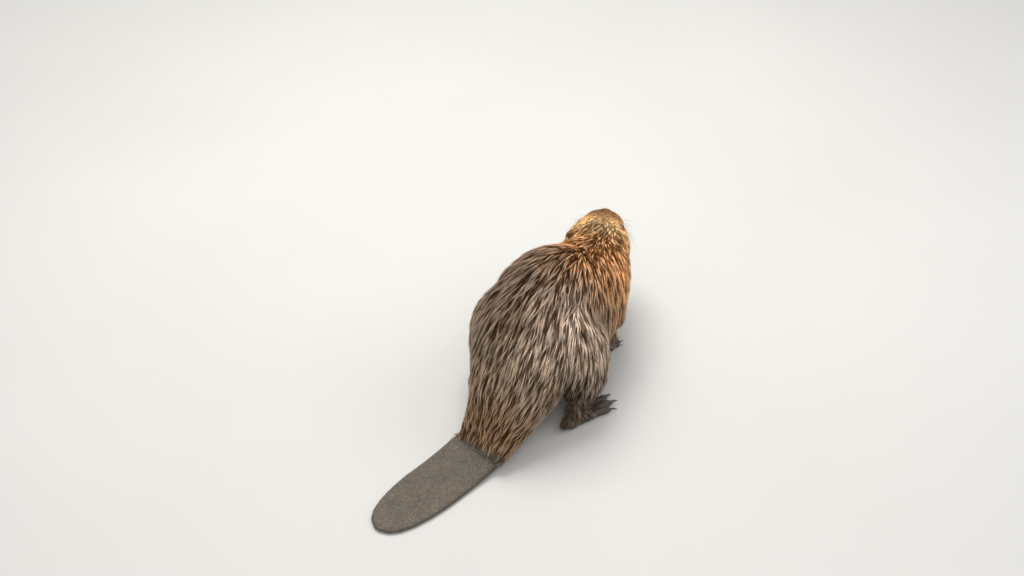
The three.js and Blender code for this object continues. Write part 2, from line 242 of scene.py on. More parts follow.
# %% Stations of the body: place, lie, length, depth, hairs per cm2, clumping, colour
BODY_STATIONS = [
    ((475, 0, 256), (-1, 0, 0.02), 38, 10, 30, 0.55, "russet"),
    ((468, 60, 236), (-0.8, 0.5, -0.4), 42, 11, 27, 0.60, "russet"),
    ((425, 0, 273), (-1, 0, 0.05), 48, 12, 23, 0.75, "brown"),
    ((442, -42, 262), (-0.9, -0.35, -0.2), 46, 12, 24, 0.70, "russet"),
    ((384, -48, 274), (-0.9, -0.4, -0.3), 56, 13, 22, 0.80, "russet"),
    ((410, 70, 262), (-0.85, 0.5, -0.4), 52, 13, 22, 0.72, "brown"),
    ((355, 0, 292), (-1, 0, 0), 62, 13, 21, 0.92, "ridge"),
    ((340, 60, 280), (-0.9, 0.45, -0.3), 62, 13, 21, 0.94, "dark"),
    ((340, 104, 240), (-0.6, 0.6, -0.7), 54, 13, 21, 0.85, "brown"),
    ((280, 0, 292), (-1, 0, -0.1), 66, 13, 21, 0.97, "ridge"),
    ((228, 40, 278), (-1, 0.2, -0.3), 66, 13, 21, 0.95, "dark"),
    ((285, 66, 276), (-1, 0.40, -0.45), 64, 13, 21, 0.95, "ridge"),
    # Painted sheen: the silver stations on the right only stand for the wet coat's highlight.
    ((254, -80, 268), (-1, -0.30, -0.5), 52, 12, 22, 0.90, "painted_sheen"),
    ((205, 0, 255), (-1, 0, -0.5), 64, 13, 21, 0.92, "ridge"),
    ((198, 70, 240), (-1, 0.25, -0.6), 58, 13, 21, 0.88, "ridge"),
    ((190, -80, 244), (-1, -0.25, -0.6), 54, 13, 21, 0.88, "painted_sheen"),
    ((148, 0, 232), (-1, 0, -0.75), 56, 12, 22, 0.88, "ridge"),
    ((112, 0, 196), (-1, 0, -0.85), 50, 12, 22, 0.85, "rump"),
    ((130, 60, 165), (-1, 0.05, -0.85), 50, 12, 22, 0.82, "rump"),
    ((152, -74, 212), (-1, -0.1, -0.8), 50, 12, 22, 0.85, "thigh"),
    ((75, 0, 115), (-1, 0, -0.75), 44, 10, 24, 0.75, "root"),
    ((60, 55, 70), (-1, -0.05, -0.5), 40, 9, 24, 0.75, "root"),
    ((18, 0, 52), (-1, 0, -0.35), 21, 5, 32, 0.60, "root"),
    ((14, 50, 30), (-1, 0.05, -0.3), 20, 5, 32, 0.60, "root"),
    ((60, 0, 15), (-1, 0, -0.1), 20, 7, 14, 0.50, "belly"),
    ((455, 88, 175), (-0.7, 0.1, -0.8), 42, 12, 24, 0.60, "gold"),
    ((410, 108, 190), (-0.55, 0.15, -1), 46, 12, 23, 0.65, "gold"),
    ((340, 126, 190), (-0.55, 0.1, -1), 50, 13, 21, 0.75, "flank"),
    ((345, 130, 140), (-0.5, 0, -1), 46, 13, 21, 0.72, "flank"),
    ((330, 122, 90), (-0.8, -0.1, -0.7), 40, 12, 19, 0.62, "flank"),
    ((165, 112, 175), (-0.9, 0, -0.9), 48, 12, 22, 0.80, "rump"),
    ((155, 110, 130), (-0.9, -0.1, -0.9), 46, 12, 22, 0.78, "rump"),
    ((150, 90, 80), (-0.9, -0.1, -0.8), 42, 12, 22, 0.70, "rump"),
    ((478, 0, 112), (-0.9, 0, -0.6), 30, 12, 16, 0.50, "belly"),
    ((440, 0, 82), (-0.8, 0, -0.6), 32, 12, 14, 0.50, "belly"),
    ((430, 78, 108), (-0.6, 0.1, -0.9), 34, 12, 18, 0.50, "gold"),
    ((330, 0, 42), (-1, 0, 0), 30, 12, 11, 0.50, "belly"),
    ((320, 75, 55), (-0.9, -0.3, -0.2), 32, 12, 13, 0.50, "belly"),
    ((200, 0, 36), (-1, 0, 0), 28, 12, 11, 0.50, "belly"),
    ((150, 55, 38), (-1, -0.1, 0), 28, 11, 12, 0.50, "belly"),
    ((412, 100, 125), (-0.4, 0, -1), 30, 9, 26, 0.50, "brown"),
    ((385, 95, 85), (-0.5, 0, -0.9), 24, 8, 26, 0.50, "brown"),
    ((410, 82, 55), (0.1, 0, -1), 13, 4, 34, 0.35, "leg"),
    ((432, 74, 24), (0.4, 0, -0.8), 7, 2, 38, 0.30, "leg"),
    ((455, 76, 14), (1, 0, -0.3), 5, 1, 34, 0.30, "leg"),
]

# %% Stations of the thigh and leg, which carry their own coat up to a sharp edge
THIGH_STATIONS = [
    ((222, 88, 250), (-0.6, 0.5, -0.5), 44, 12, 24, 0.80, "thigh"),
    # Painted sheen: the silver stations here, on the right only, stand for the wet coat's highlight.
    ((226, -92, 254), (-0.6, -0.5, -0.5), 44, 12, 24, 0.80, "painted_sheen"),
    ((226, 120, 218), (-0.4, 0.4, -1), 44, 12, 24, 0.80, "brown"),
    ((275, 130, 190), (-0.3, 0.1, -1), 40, 12, 24, 0.75, "thigh"),
    ((200, 130, 190), (-0.4, 0.1, -1), 42, 12, 24, 0.75, "thigh"),
    ((244, -136, 198), (-0.35, -0.2, -1), 42, 12, 24, 0.78, "painted_sheen"),
    ((240, 150, 140), (-0.3, 0.05, -1), 40, 12, 24, 0.72, "thigh"),
    ((196, 142, 126), (-0.4, 0, -1), 38, 12, 24, 0.70, "leg"),
    ((300, 138, 130), (-0.3, 0.1, -1), 38, 12, 24, 0.70, "thigh"),
    ((235, 150, 88), (-0.3, 0, -1), 34, 11, 25, 0.65, "leg"),
    ((175, 130, 80), (-0.5, 0, -1), 36, 11, 24, 0.65, "leg"),
    ((230, 140, 52), (-0.3, 0, -1), 24, 8, 26, 0.55, "leg"),
    ((205, 120, 34), (-0.5, 0, -0.9), 14, 5, 32, 0.45, "leg"),
    ((172, 113, 22), (-0.5, 0, -1), 8, 2, 36, 0.35, "leg"),
    ((225, 120, 20), (1, 0.1, -0.3), 6, 1, 30, 0.30, "leg"),
]

# %% Stations of the head
HEAD_STATIONS = [
    ((128, 0, 22), (-1, 0, 0.2), 5, 2.5, 90, 0.10, "shade"),
    ((104, 0, 36), (-1, 0, 0.3), 8, 3.5, 78, 0.15, "shade"),
    ((78, 0, 46), (-1, 0, 0.2), 11, 5, 52, 0.35, "crown"),
    ((104, 26, 26), (-1, 0.3, 0), 8, 3.5, 78, 0.15, "gold"),
    ((112, 36, 0), (-1, 0.3, -0.05), 6, 2.5, 90, 0.10, "gold"),
    ((128, 22, -18), (-1, 0.5, -0.3), 4, 2, 95, 0.10, "shade"),
    # Brow and temples: pale fur, lightened further as painted sunlight on the top of the head.
    ((66, 26, 46), (-1, 0.2, 0.1), 12, 5, 62, 0.30, "sunlit_blond"),
    ((15, 0, 61), (-1, 0, 0), 24, 9, 38, 0.55, "crown"),
    ((-35, 0, 50), (-1, 0, 0), 32, 10, 34, 0.60, "crown"),
    ((-30, 46, 40), (-0.8, 0.5, -0.3), 34, 10, 34, 0.60, "gold"),
    ((28, 40, 50), (-1, 0.3, 0), 20, 8, 42, 0.50, "sunlit_blond"),
    ((20, 62, 26), (-1, 0.4, -0.1), 21, 8, 42, 0.50, "golden"),
    ((46, 62, 14), (-1, 0.2, -0.1), 15, 7, 52, 0.30, "golden"),
    ((44, 64, -16), (-1, 0.1, -0.35), 18, 8, 48, 0.35, "golden"),
    ((0, 72, -10), (-0.9, 0.1, -0.6), 28, 9, 36, 0.55, "golden"),
    ((60, 40, -52), (-1, 0.1, -0.1), 12, 5, 50, 0.25, "gold"),
    ((108, 0, -50), (-1, 0, -0.2), 6, 3, 70, 0.15, "gold"),
    ((60, 0, -66), (-1, 0, -0.1), 12, 5, 34, 0.30, "belly"),
]
SMALL_STATIONS = [  # these reach only a little way
    ((64, 49, 28), (-1, 0.1, 0.1), 3.5, 1.2, 90, 0.10, "shade"),
    ((-5, 53, 44), (-1, 0.2, 0.4), 8, 1, 66, 0.25, "ear"),
]
THIGH_MIDDLE, THIGH_TOP, THIGH_REACH = (240, 150), 106, 86

# %% Blending the stations
def station_rows():
    """Every station on both sides: its place, its lie, its reach, its numbers and whether it is the thigh's."""
    rows = []
    for stations, frame_of, reach in (
        (BODY_STATIONS, place, 0.036), (THIGH_STATIONS, place, 0.030), (HEAD_STATIONS, on_head, 0.022),
        (SMALL_STATIONS, on_head, 0.010),
    ):
        for (a, side, up), (da, dl, du), length, depth, crowd, clump, tone in stations:
            for mirror in (1, -1) if side > 0 else (1,):
                spot = frame_of(a, side * mirror, up)
                way = frame_of(a + da, side * mirror + dl * mirror, up + du) - spot
                rows.append((spot, way / np.linalg.norm(way), reach,
                             [length / 1000, depth / 1000, crowd * 1e4, clump, *linear(*TONES[tone])],
                             stations is THIGH_STATIONS))
    return [np.array([row[i] for row in rows]) for i in range(5)]


STATION_AT, STATION_LIE, STATION_REACH, STATION_NUMBERS, OF_THIGH = station_rows()


def soft_step(value, low, high):
    share = np.clip((value - low) / (high - low), 0, 1)
    return share * share * (3 - 2 * share)


def thigh_share(points):
    """1 on the thigh and leg, 0 off them, and how far a place is from the thigh's edge."""
    forward, left, up = body_frame(points)
    ahead = forward - THIGH_MIDDLE[0]
    out = np.hypot(ahead / np.where(ahead > 0, THIGH_REACH, 110), np.maximum(up - THIGH_MIDDLE[1], 0) / THIGH_TOP)
    sharp = soft_step(ahead, -50, 30)
    share = 1 - soft_step(out, 0.50 + 0.42 * sharp, 1.04)
    return share * soft_step(np.abs(left), 56, 84), np.where(ahead > -50, (out - 1) * THIGH_REACH, 60)


def coat_map(points):
    """Lie (unit vectors), length, depth, crowd, clumping and colour of the coat at the points."""
    lies, numbers = np.empty((len(points), 3)), np.empty((len(points), STATION_NUMBERS.shape[1]))
    thigh, edge = thigh_share(points)
    for start in range(0, len(points), 20000):
        part, on = points[start:start + 20000], thigh[start:start + 20000, None]
        nearness = -((part[:, None] - STATION_AT) ** 2).sum(2) / (2 * STATION_REACH ** 2)
        weight = np.exp(nearness - nearness.max(1, keepdims=True)) * np.where(OF_THIGH, on, 1 - on)
        weight /= weight.sum(1, keepdims=True) + 1e-12
        lies[start:start + 20000] = weight @ STATION_LIE
        numbers[start:start + 20000] = weight @ STATION_NUMBERS
    lies /= np.linalg.norm(lies, axis=1, keepdims=True) + 1e-9
    _, left, up = body_frame(points)
    # Painted shade: the colour is darkened along the thigh's front edge, the shade in the crease between thigh and
    # flank.
    crease_shade = np.exp(-((edge - 5) / 7) ** 2) * soft_step(np.abs(left), 90, 105) * soft_step(up, 40, 70)
    colour = numbers[:, 4:7] * (1 - 0.55 * crease_shade)[:, None]
    return lies, numbers[:, 0], numbers[:, 1], numbers[:, 2], numbers[:, 3], colour


print(len(STATION_AT), "stations")

# %% [markdown]
# ## One skin
# The solids are cut apart at the neck, hips and ankles, and a real animal is not. Copies of all the solids of
# flesh are swollen by half a millimetre so that they close over the cuts, put in one mesh and remade as one
# closed surface by the Remesh modifier. Smoothing takes the flat facets away, most on the large rounded
# parts and least on ears and toes, and decimating leaves the small faces where small shapes are.

# %% Gather the flesh
flesh_names = sorted(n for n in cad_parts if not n.startswith(("eye_", "claw_", "hind_claw_")))
bare_names = [n for n in flesh_names if n.startswith(("hand_", "hind_foot_", "nose", "tail_paddle"))]
furred_names = [n for n in flesh_names if n not in bare_names]


def merged_copy(name, swell=0.0):
    """A node's mesh with its loose triangles merged, swollen along its normals."""
    part = bmesh.new()
    part.from_mesh(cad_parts[name].data)
    bmesh.ops.remove_doubles(part, verts=part.verts, dist=1e-5)
    part.normal_update()
    for vertex in part.verts:
        vertex.co += vertex.normal * swell
    return part


def gathered(names, swell):
    """Several nodes in one bmesh."""
    whole, store = bmesh.new(), bpy.data.meshes.new("store")
    for name in names:
        part = merged_copy(name, swell)
        part.to_mesh(store)
        part.free()
        whole.from_mesh(store)
    bpy.data.meshes.remove(store)
    return whole


def tree_of(names):
    """For the distance to some nodes."""
    whole = gathered(names, 0)
    found = BVHTree.FromBMesh(whole)
    whole.free()
    return found


furred_tree = tree_of(furred_names)
limb_tree = tree_of([n for n in flesh_names if n.startswith(("forearm", "hand", "hind_leg", "hind_foot"))])
thigh_and_arm_tree = tree_of([n for n in flesh_names if n.startswith(("thigh", "upper_arm"))])
trunk_tree = tree_of(["trunk"])
flesh_tree = tree_of(flesh_names)
print(len(flesh_names), "solids of flesh,", len(bare_names), "of them bare")

# %% Remesh as one surface
SKIN_VOXEL = 0.0016


def numbers_of(mesh, kind, key, width, dtype=np.float64):
    """A mesh's own list as an array, such as the places of its vertices."""
    values = np.empty(len(getattr(mesh, kind)) * width, dtype)
    getattr(mesh, kind).foreach_get(key, values)
    return values.reshape(-1, width) if width > 1 else values


def baked(thing):
    """The mesh that an object's modifiers make, as a mesh of its own."""
    bpy.context.view_layer.update()
    return bpy.data.meshes.new_from_object(thing.evaluated_get(bpy.context.evaluated_depsgraph_get()))


def settle(thing):
    """Applies all of an object's modifiers."""
    made = baked(thing)
    thing.modifiers.clear()
    thing.data = made


skin_mesh = bpy.data.meshes.new("skin")
whole = gathered(flesh_names + ["eye_left", "eye_right"], 0.0005)
whole.to_mesh(skin_mesh)
whole.free()
skin = bpy.data.objects.new("skin", skin_mesh)
bpy.context.collection.objects.link(skin)
remesh = skin.modifiers.new("one surface", "REMESH")
remesh.mode, remesh.voxel_size = "VOXEL", SKIN_VOXEL
settle(skin)
print("remeshed:", len(skin.data.vertices), "vertices,", len(skin.data.polygons), "faces")

# %% Weights of smoothing and of detail
def nearest_distance(tree, points):
    return np.array([tree.find_nearest(point)[3] for point in points])


def paint(thing, name, weights, levels=16):
    """A vertex group with the weights, rounded to a few levels."""
    group = thing.vertex_groups.new(name=name)
    steps = np.round(np.clip(weights, 0, 1) * levels).astype(int)
    for level in range(1, levels + 1):
        group.add(np.flatnonzero(steps == level).tolist(), level / levels, "REPLACE")


def fine_parts(points, furred):
    """1 on the head, ears, feet and paddle, where small shapes are, and 0 on the body."""
    ahead, _, _ = head_frame(points)
    ears = np.max([1 - soft_step(np.linalg.norm(points - on_head(-6, s * 53, 44), axis=1), 0.016, 0.026)
                   for s in (1, -1)], axis=0)
    face = 0.35 * soft_step(ahead, -40, 0) + 0.2 * soft_step(ahead, 60, 110)
    forward, _, _ = body_frame(points)
    bare = soft_step(furred, 0.001, 0.008) * np.where(forward < 0, 0.72, 1)
    limbs = 0.95 * (1 - soft_step(nearest_distance(limb_tree, points), 0.002, 0.012))
    return np.maximum.reduce([ears, face, bare, limbs])


points = numbers_of(skin.data, "vertices", "co", 3)
furred_distance = nearest_distance(furred_tree, points)
fine = fine_parts(points, furred_distance)
paint(skin, "rounded", 1 - 0.97 * fine)
paint(skin, "plain", 1 - 0.85 * fine)
smooth = skin.modifiers.new("smooth", "SMOOTH")
smooth.factor, smooth.iterations, smooth.vertex_group = 0.5, 140, "rounded"
settle(skin)
print("smoothed; fine share", round(float((fine > 0.5).mean()), 2))

# %% Fewer faces on the plain parts
thin = skin.modifiers.new("fewer faces", "DECIMATE")
thin.ratio, thin.vertex_group, thin.vertex_group_factor = (0.22), "plain", 0.0001
thin.use_collapse_triangulate = True
settle(skin)
print("skin now", len(skin.data.polygons), "triangles")

# %% [markdown]
# ## Under the coat
# The solids reach to the tips of the coat, so the skin goes inwards by the coat's depth: over a centimetre on
# the back, a millimetre round the eyes, nothing on the feet, nose and tail. The depth is counted from the
# solids' own surface, because smoothing has drawn the skin in a little. The fur stops sharply at the tail's
# hair line and thins out over the ankles and wrists.

# %% How furred each place is
def furred_share(points, distance):
    """1 under fur and 0 on bare skin, from the distance to the furred solids."""
    forward, left, _ = body_frame(points)
    ahead, _, _ = head_frame(points)
    reach = np.where(forward < 20, 0.007, np.where(ahead > 110, 0.005, 0.028))
    return (1 - soft_step(distance, 0.0005, reach)) * soft_step(forward - 0.3 * np.maximum(left, 0), 0, 10)


def normals_of(mesh):
    return numbers_of(mesh, "vertex_normals", "vector", 3)


def move_to(mesh, points):
    mesh.vertices.foreach_set("co", points.ravel())
    mesh.update()


points = numbers_of(skin.data, "vertices", "co", 3)
furred = furred_share(points, nearest_distance(furred_tree, points))
depth = coat_map(points)[2] * furred
creased = np.hypot(nearest_distance(thigh_and_arm_tree, points), nearest_distance(trunk_tree, points))
depth = 0.9 * depth + 0.005 * np.exp(-(creased / 0.009) ** 2) * furred
normals = normals_of(skin.data)
outline = np.array([flesh_tree.find_nearest(point)[0] for point in points])
shrunk = np.clip(((outline - points) * normals).sum(1), 0, 0.006) * furred
move_to(skin.data, points + normals * (shrunk - depth)[:, None])
paint(skin, "under fur", furred)
smooth = skin.modifiers.new("settle", "SMOOTH")
smooth.factor, smooth.iterations, smooth.vertex_group = 0.5, 6, "under fur"
settle(skin)
print("coat up to", round(float(depth.max()) * 1000, 1), "mm deep")

# %% [markdown]
# ## The face
# A beaver's eye is small and dark and sits high on the side of a deep blunt head. The nose pad is broad and
# bare, its nostrils open to the sides, and the upper lip is split below it. These folds are finer than the
# faces of the skin, so the eyes' and muzzle's faces are divided first, and then pushed and pulled as a
# sculptor would: a dab moves everything near a place, a groove everything near a line.

# %% Finer faces where the folds are
def refine(mesh, centre, radius):
    """Divides the edges within a radius in two."""
    shape = bmesh.new()
    shape.from_mesh(mesh)
    near = {v for v in shape.verts if (v.co - centre).length < radius}
    edges = [e for e in shape.edges if e.verts[0] in near and e.verts[1] in near]
    bmesh.ops.subdivide_edges(shape, edges=edges, cuts=1, use_grid_fill=True)
    bmesh.ops.triangulate(shape, faces=[f for f in shape.faces if len(f.verts) > 3])
    bmesh.ops.smooth_vert(shape, verts=[v for v in shape.verts if (v.co - centre).length < radius],
                          factor=0.5, use_axis_x=True, use_axis_y=True, use_axis_z=True)
    shape.to_mesh(mesh)
    shape.free()


for spot, radius in ((on_head(120, 0, -8), 0.045), (eyes["left"], 0.017), (eyes["right"], 0.017),
                     (eyes["left"], 0.012), (eyes["right"], 0.012)):
    refine(skin.data, Vector(spot), radius)
print("skin with a finer face:", len(skin.data.polygons), "triangles")

# %% Dabs and grooves
def dab(points, centre, radius, push):
    """Moves the points near a place."""
    nearness = np.exp(-(((points - centre) ** 2).sum(1)) / radius ** 2)
    return points + nearness[:, None] * push


def line_distance(points, line):
    """How far the points are from a line of places."""
    away = np.full(len(points), 1.0)
    for start, end in zip(line, line[1:]):
        along = np.clip((points - start) @ (end - start) / ((end - start) @ (end - start)), 0, 1)
        away = np.minimum(away, np.linalg.norm(points - start - along[:, None] * (end - start), axis=1))
    return away


def groove(points, normals, line, width, deep):
    """Presses a furrow into the points near a line of places."""
    return points - normals * (deep * np.exp(-(line_distance(points, line) / width) ** 2))[:, None]


def laid(line):
    """A line of places brought down onto the skin."""
    shape = bmesh.new()
    shape.from_mesh(skin.data)
    tree = BVHTree.FromBMesh(shape)
    shape.free()
    return [np.array(tree.find_nearest(Vector(spot))[0]) for spot in line]


def head_way(ahead, left, up):
    """A direction on the head, as a length in metres from millimetres."""
    return axes(ahead, left, up) @ HEAD_TURN.T


points = numbers_of(skin.data, "vertices", "co", 3)
normals = normals_of(skin.data)
points = dab(points, on_head(148, 0, 6), 0.017, head_way(-4.2, 0, -1.0))
for side in (1, -1):
    points = dab(points, on_head(58, side * 42, 44), 0.011, head_way(0, side * 0.8, 1.8))
    points = dab(points, on_head(84, side * 42, 6), 0.016, head_way(0, -side * 1.5, 0))
    points = dab(points, on_head(42, side * 60, -22), 0.022, head_way(0, side * 2.5, -0.5))
    points = dab(points, on_head(118, side * 30, -14), 0.013, head_way(1.0, side * 2.4, -0.6))
    points = dab(points, on_head(140, side * 10, 4), 0.0040, head_way(-3.4, -side * 3.4, 0.5))
    points = dab(points, on_head(140, side * 6, 8), 0.004, head_way(1.0, 0, 0.9))
lips_at = np.array([(88, 38, -34), (104, 32, -33), (118, 25, -31), (130, 15, -29), (138, 7, -27), (141, 0, -24)])
mouth = laid([on_head(*spot) for spot in np.concatenate([lips_at * (1, -1, 1), lips_at[-2::-1]])])
points = groove(points, normals, mouth, 0.0030, 0.0050)
philtrum = laid([on_head(146, 0, up) for up in (-5, -10, -15, -20, -25)])
points = groove(points, normals, philtrum, 0.0020, 0.0028)
points = groove(points, normals, [on_head(148, 0, 12), on_head(146, 0, -4)], 0.0014, 0.0010)
move_to(skin.data, points)
print("face modelled")

# %% Lids over the eyes
LID, OPEN_WIDTH, OPEN_HEIGHT = 0.0010, 0.0054, 0.0043


def eye_axes(side):
    """Outwards, along the slit and upwards at an eye."""
    out = head_way(260, 1000 * (1 if side == "left" else -1), 260)
    out = out / np.linalg.norm(out)
    along = head_way(1000, 0, 130)
    along = along - out * (along @ out)
    along = along / np.linalg.norm(along)
    return out, along, np.cross(along, out) * (1 if side == "right" else -1)


def eye_place(points, side):
    """Height over the eye's middle, and share of the way to the lids' edge (below 1 in the opening)."""
    out, along, rise = eye_axes(side)
    local = points - np.array(eyes[side])
    a, b = local @ along, local @ rise
    return local @ out, np.hypot(a / OPEN_WIDTH, b / OPEN_HEIGHT), np.hypot(a, b)


for side in ("left", "right"):
    height, share, across = eye_place(points, side)
    near = (height > 0) & (across < EYE_RADIUS + LID)
    ball = np.sqrt(np.maximum(EYE_RADIUS ** 2 - across ** 2, 0))
    lid = np.sqrt(np.maximum((EYE_RADIUS + LID) ** 2 - across ** 2, 0))
    lifted = np.where(share < 1, ball - 0.0015, np.maximum(height, lid))
    points = points + np.where(near, lifted - height, 0)[:, None] * eye_axes(side)[0]
move_to(skin.data, points)
print("lids drawn over eyes of", EYE_RADIUS * 2000, "mm")

# %% The tail's ridge and the soft edge of its blade
points = numbers_of(skin.data, "vertices", "co", 3)
normals = normals_of(skin.data)
back, left, up = tail_frame(points)
ridge = np.exp(-(left / 6.5) ** 2) * soft_step(back, 0, 60) * (1 - soft_step(back, 200, 262))
dip = np.exp(-((np.abs(left) - 15) / 8) ** 2) * soft_step(back, 0, 60) * (1 - soft_step(back, 200, 262))
on_top = soft_step(normals[:, 2], 0.3, 0.8) * (back > -5)
points[:, 2] += (0.0013 * ridge - 0.0007 * dip) * on_top
move_to(skin.data, points)
skin.data.shade_smooth()
print("tail shaped,", int((on_top > 0.5).sum()), "vertices on its top")

# %% [markdown]
# ## Colours on the skin
# The skin carries the coat's own markings, and three more colours where it is bare: the tail's warm grey, the
# dark feet and the almost black nose and lids. They are kept on its vertices as an attribute that the
# material reads, with how furred each place is and whether it belongs to the tail.

# %% Attributes
BARE_TONES = {"tail": (97, 86, 72), "foot": (84, 71, 62), "nose": (38, 32, 29), "inner ear": (110, 82, 70)}


def write(mesh, name, kind, values):
    """An attribute on the vertices."""
    layer = mesh.attributes.new(name, kind, "POINT")
    key = "color" if kind == "FLOAT_COLOR" else "value"
    layer.data.foreach_set(key, np.ascontiguousarray(values, np.float32).ravel())


def with_alpha(colours, alpha=1.0):
    return np.column_stack([colours, np.broadcast_to(alpha, len(colours))])


points = numbers_of(skin.data, "vertices", "co", 3)
normals = normals_of(skin.data)
swollen = points + normals * coat_map(points)[2][:, None] * 0.97
furred = furred_share(points, np.maximum(nearest_distance(furred_tree, swollen) - 0.0009, 0))
forward, left, up = body_frame(points)
ahead, head_left, head_up = head_frame(points)
is_tail = (forward < 20) & (furred < 0.99)
is_nose = ahead > 110
pad = np.hypot(head_left / 15, (head_up - 3) / 11) + (ahead < 126)
bare_tone = np.where(is_tail[:, None], linear(*BARE_TONES["tail"]), linear(*BARE_TONES["foot"]))
bare_tone = np.where(is_nose[:, None], linear(*BARE_TONES["nose"]), bare_tone)
lid_rim = np.maximum.reduce([(1 - soft_step(eye_place(points, s)[1], 1.1, 1.9)) * (eye_place(points, s)[0] > 0)
                             for s in ("left", "right")])
lips = (1 - soft_step(line_distance(points, mouth), 0.0022, 0.0046)) * soft_step(ahead, 92, 108)
lips = np.maximum(lips, 1 - soft_step(line_distance(points, philtrum), 0.0014, 0.0030))
furred = np.where(is_nose, soft_step(pad, 0.9, 1.1), furred) * (1 - lid_rim) * (1 - lips)
bare_tone = np.where((np.maximum(lid_rim, lips) > 0)[:, None], linear(*BARE_TONES["nose"]), bare_tone)
_, length, _, _, _, coat_tone = coat_map(points)
fur_tone = coat_tone * (1 - 0.55 * soft_step(length, 0.010, 0.024))[:, None]
marking = fur_tone * furred[:, None] + bare_tone * (1 - furred[:, None])
write(skin.data, "marking", "FLOAT_COLOR", with_alpha(marking))
write(skin.data, "furred", "FLOAT", furred)
write(skin.data, "tail", "FLOAT", soft_step(20 - forward, 0, 8) * (1 - furred))
print("furred share of the skin", round(float(furred.mean()), 2))

# %% [markdown]
# ## The coat
# Real guard hairs are far too many, so each hair of the model stands for a small tuft: a thin closed spike
# with three sides, which runs out to a point. Damp fur gathers in locks, so first some thousands of locks
# are laid over the skin. A lock's line starts at its root and steps along the lie of the coat, coming down
# onto the skin at every step and rising off it by the coat's depth. Then each hair follows the lock nearest
# to its root and draws in towards it at the tip. The arrays are worked out for all hairs at once, because
# nothing that shapes one hair at a time would finish in a minute.

# %% The finished skin as triangles
CHANCE = np.random.default_rng(7)
HAIR_SHARE = 1.0

skin.data.calc_loop_triangles()
triangles = numbers_of(skin.data, "loop_triangles", "vertices", 3, np.int32)
skin_points = numbers_of(skin.data, "vertices", "co", 3)
skin_normals = normals_of(skin.data)
skin_tree = BVHTree.FromPolygons(skin_points.tolist(), triangles.tolist())
face_normals = skin_normals[triangles].mean(1)
corners = skin_points[triangles]
face_areas = np.linalg.norm(np.cross(corners[:, 1] - corners[:, 0], corners[:, 2] - corners[:, 0]), axis=1) / 2
skin_furred = numbers_of(skin.data.attributes["furred"], "data", "value", 1, np.float32)
face_crowd = coat_map(corners.mean(1))[3] * soft_step(skin_furred[triangles].mean(1), 0.15, 0.7)
print("furred skin", round(float(face_areas[face_crowd > 0].sum()) * 1e4), "cm2, room for",
      round(float((face_crowd * face_areas).sum())), "hairs")

# %% Roots and locks
def scatter(count):
    """Places on the skin, as many as count, closer together where the coat is denser."""
    chance = face_crowd * face_areas
    face = CHANCE.choice(len(chance), size=count, p=chance / chance.sum())
    a, b = np.sqrt(CHANCE.random(count)), CHANCE.random(count)
    spots = corners[face, 0] * (1 - a)[:, None] + corners[face, 1] * (a * (1 - b))[:, None] \
        + corners[face, 2] * (a * b)[:, None]
    return spots, unit(face_normals[face])


def unit(vectors):
    return vectors / (np.linalg.norm(vectors, axis=-1, keepdims=True) + 1e-12)


def onto_skin(points):
    """The nearest places on the skin and the way it faces there."""
    hits = [skin_tree.find_nearest(point) for point in points]
    return np.array([hit[0] for hit in hits]), unit(face_normals[[hit[2] for hit in hits]])


def flat_to(vectors, normals):
    """Vectors laid in the skin's own plane."""
    return unit(vectors - normals * (vectors * normals).sum(-1, keepdims=True))


HAIRS = int((face_crowd * face_areas).sum() * HAIR_SHARE)
LOCKS = int(HAIRS / 5)
lock_roots, lock_normals = scatter(LOCKS)
print(HAIRS, "hairs in", LOCKS, "locks")

# %% Lay the locks
STEPS, PALE_SHARE = 4, 0.28


def lay_locks(roots, normals, pale):
    """Points, sides and normals of every lock at its root and after each step."""
    count = len(roots)
    _, length, root_depth, _, _, _ = coat_map(roots)
    length = length * np.where(pale, CHANCE.uniform(1.0, 1.45, count), CHANCE.uniform(0.65, 1.05, count))
    lift = np.where(pale, CHANCE.uniform(1.0, 1.22, count), CHANCE.uniform(0.78, 1.0, count))
    turn = CHANCE.normal(0, 0.12, count)
    wave, phase = CHANCE.normal(0, 0.06, count), CHANCE.uniform(0, 6.28, count)
    surface, normal = roots.copy(), normals.copy()
    points, sides, ups = [roots], [], []
    for step in range(1, STEPS + 1):
        lie, _, depth, _, _, _ = coat_map(surface)
        way = flat_to(lie, normal)
        across = np.cross(normal, way)
        swing = turn + wave * np.sin(phase + step * 1.9)
        way = unit(way + across * swing[:, None])
        if step == 1:
            sides.append(np.cross(normal, way))
            ups.append(normal)
        surface, normal = onto_skin(surface + way * (length / STEPS)[:, None])
        share = step / STEPS
        height = np.maximum(0.5 * root_depth + 0.5 * depth, 0.0006) * lift * share ** 0.72
        points.append(surface + normal * height[:, None])
        sides.append(np.cross(normal, way))
        ups.append(normal)
    return np.stack(points, 1), unit(np.stack(sides, 1)), np.stack(ups, 1)


lock_pale = CHANCE.random(LOCKS) < PALE_SHARE
lock_points, lock_sides, lock_ups = lay_locks(lock_roots, lock_normals, lock_pale)
print("mean lock", round(float(np.linalg.norm(np.diff(lock_points, axis=1), axis=2).sum(1).mean()) * 1000, 1), "mm")

# %% Grow the hairs along their locks
def along_lock(values, locks, shares):
    """Values of the locks' lines at shares of their length, smoothly between the steps."""
    at = np.clip(shares, 0, 0.9999) * STEPS
    low = at.astype(int)
    part = (at - low)[..., None]
    row = locks[:, None]
    before, after = np.maximum(low - 1, 0), np.minimum(low + 2, STEPS)
    p0, p1, p2, p3 = (values[row, i] for i in (before, low, low + 1, after))
    slope1, slope2 = (p2 - p0) / 2, (p3 - p1) / 2
    t2, t3 = part ** 2, part ** 3
    return (2 * t3 - 3 * t2 + 1) * p1 + (t3 - 2 * t2 + part) * slope1 + (3 * t2 - 2 * t3) * p2 + (t3 - t2) * slope2


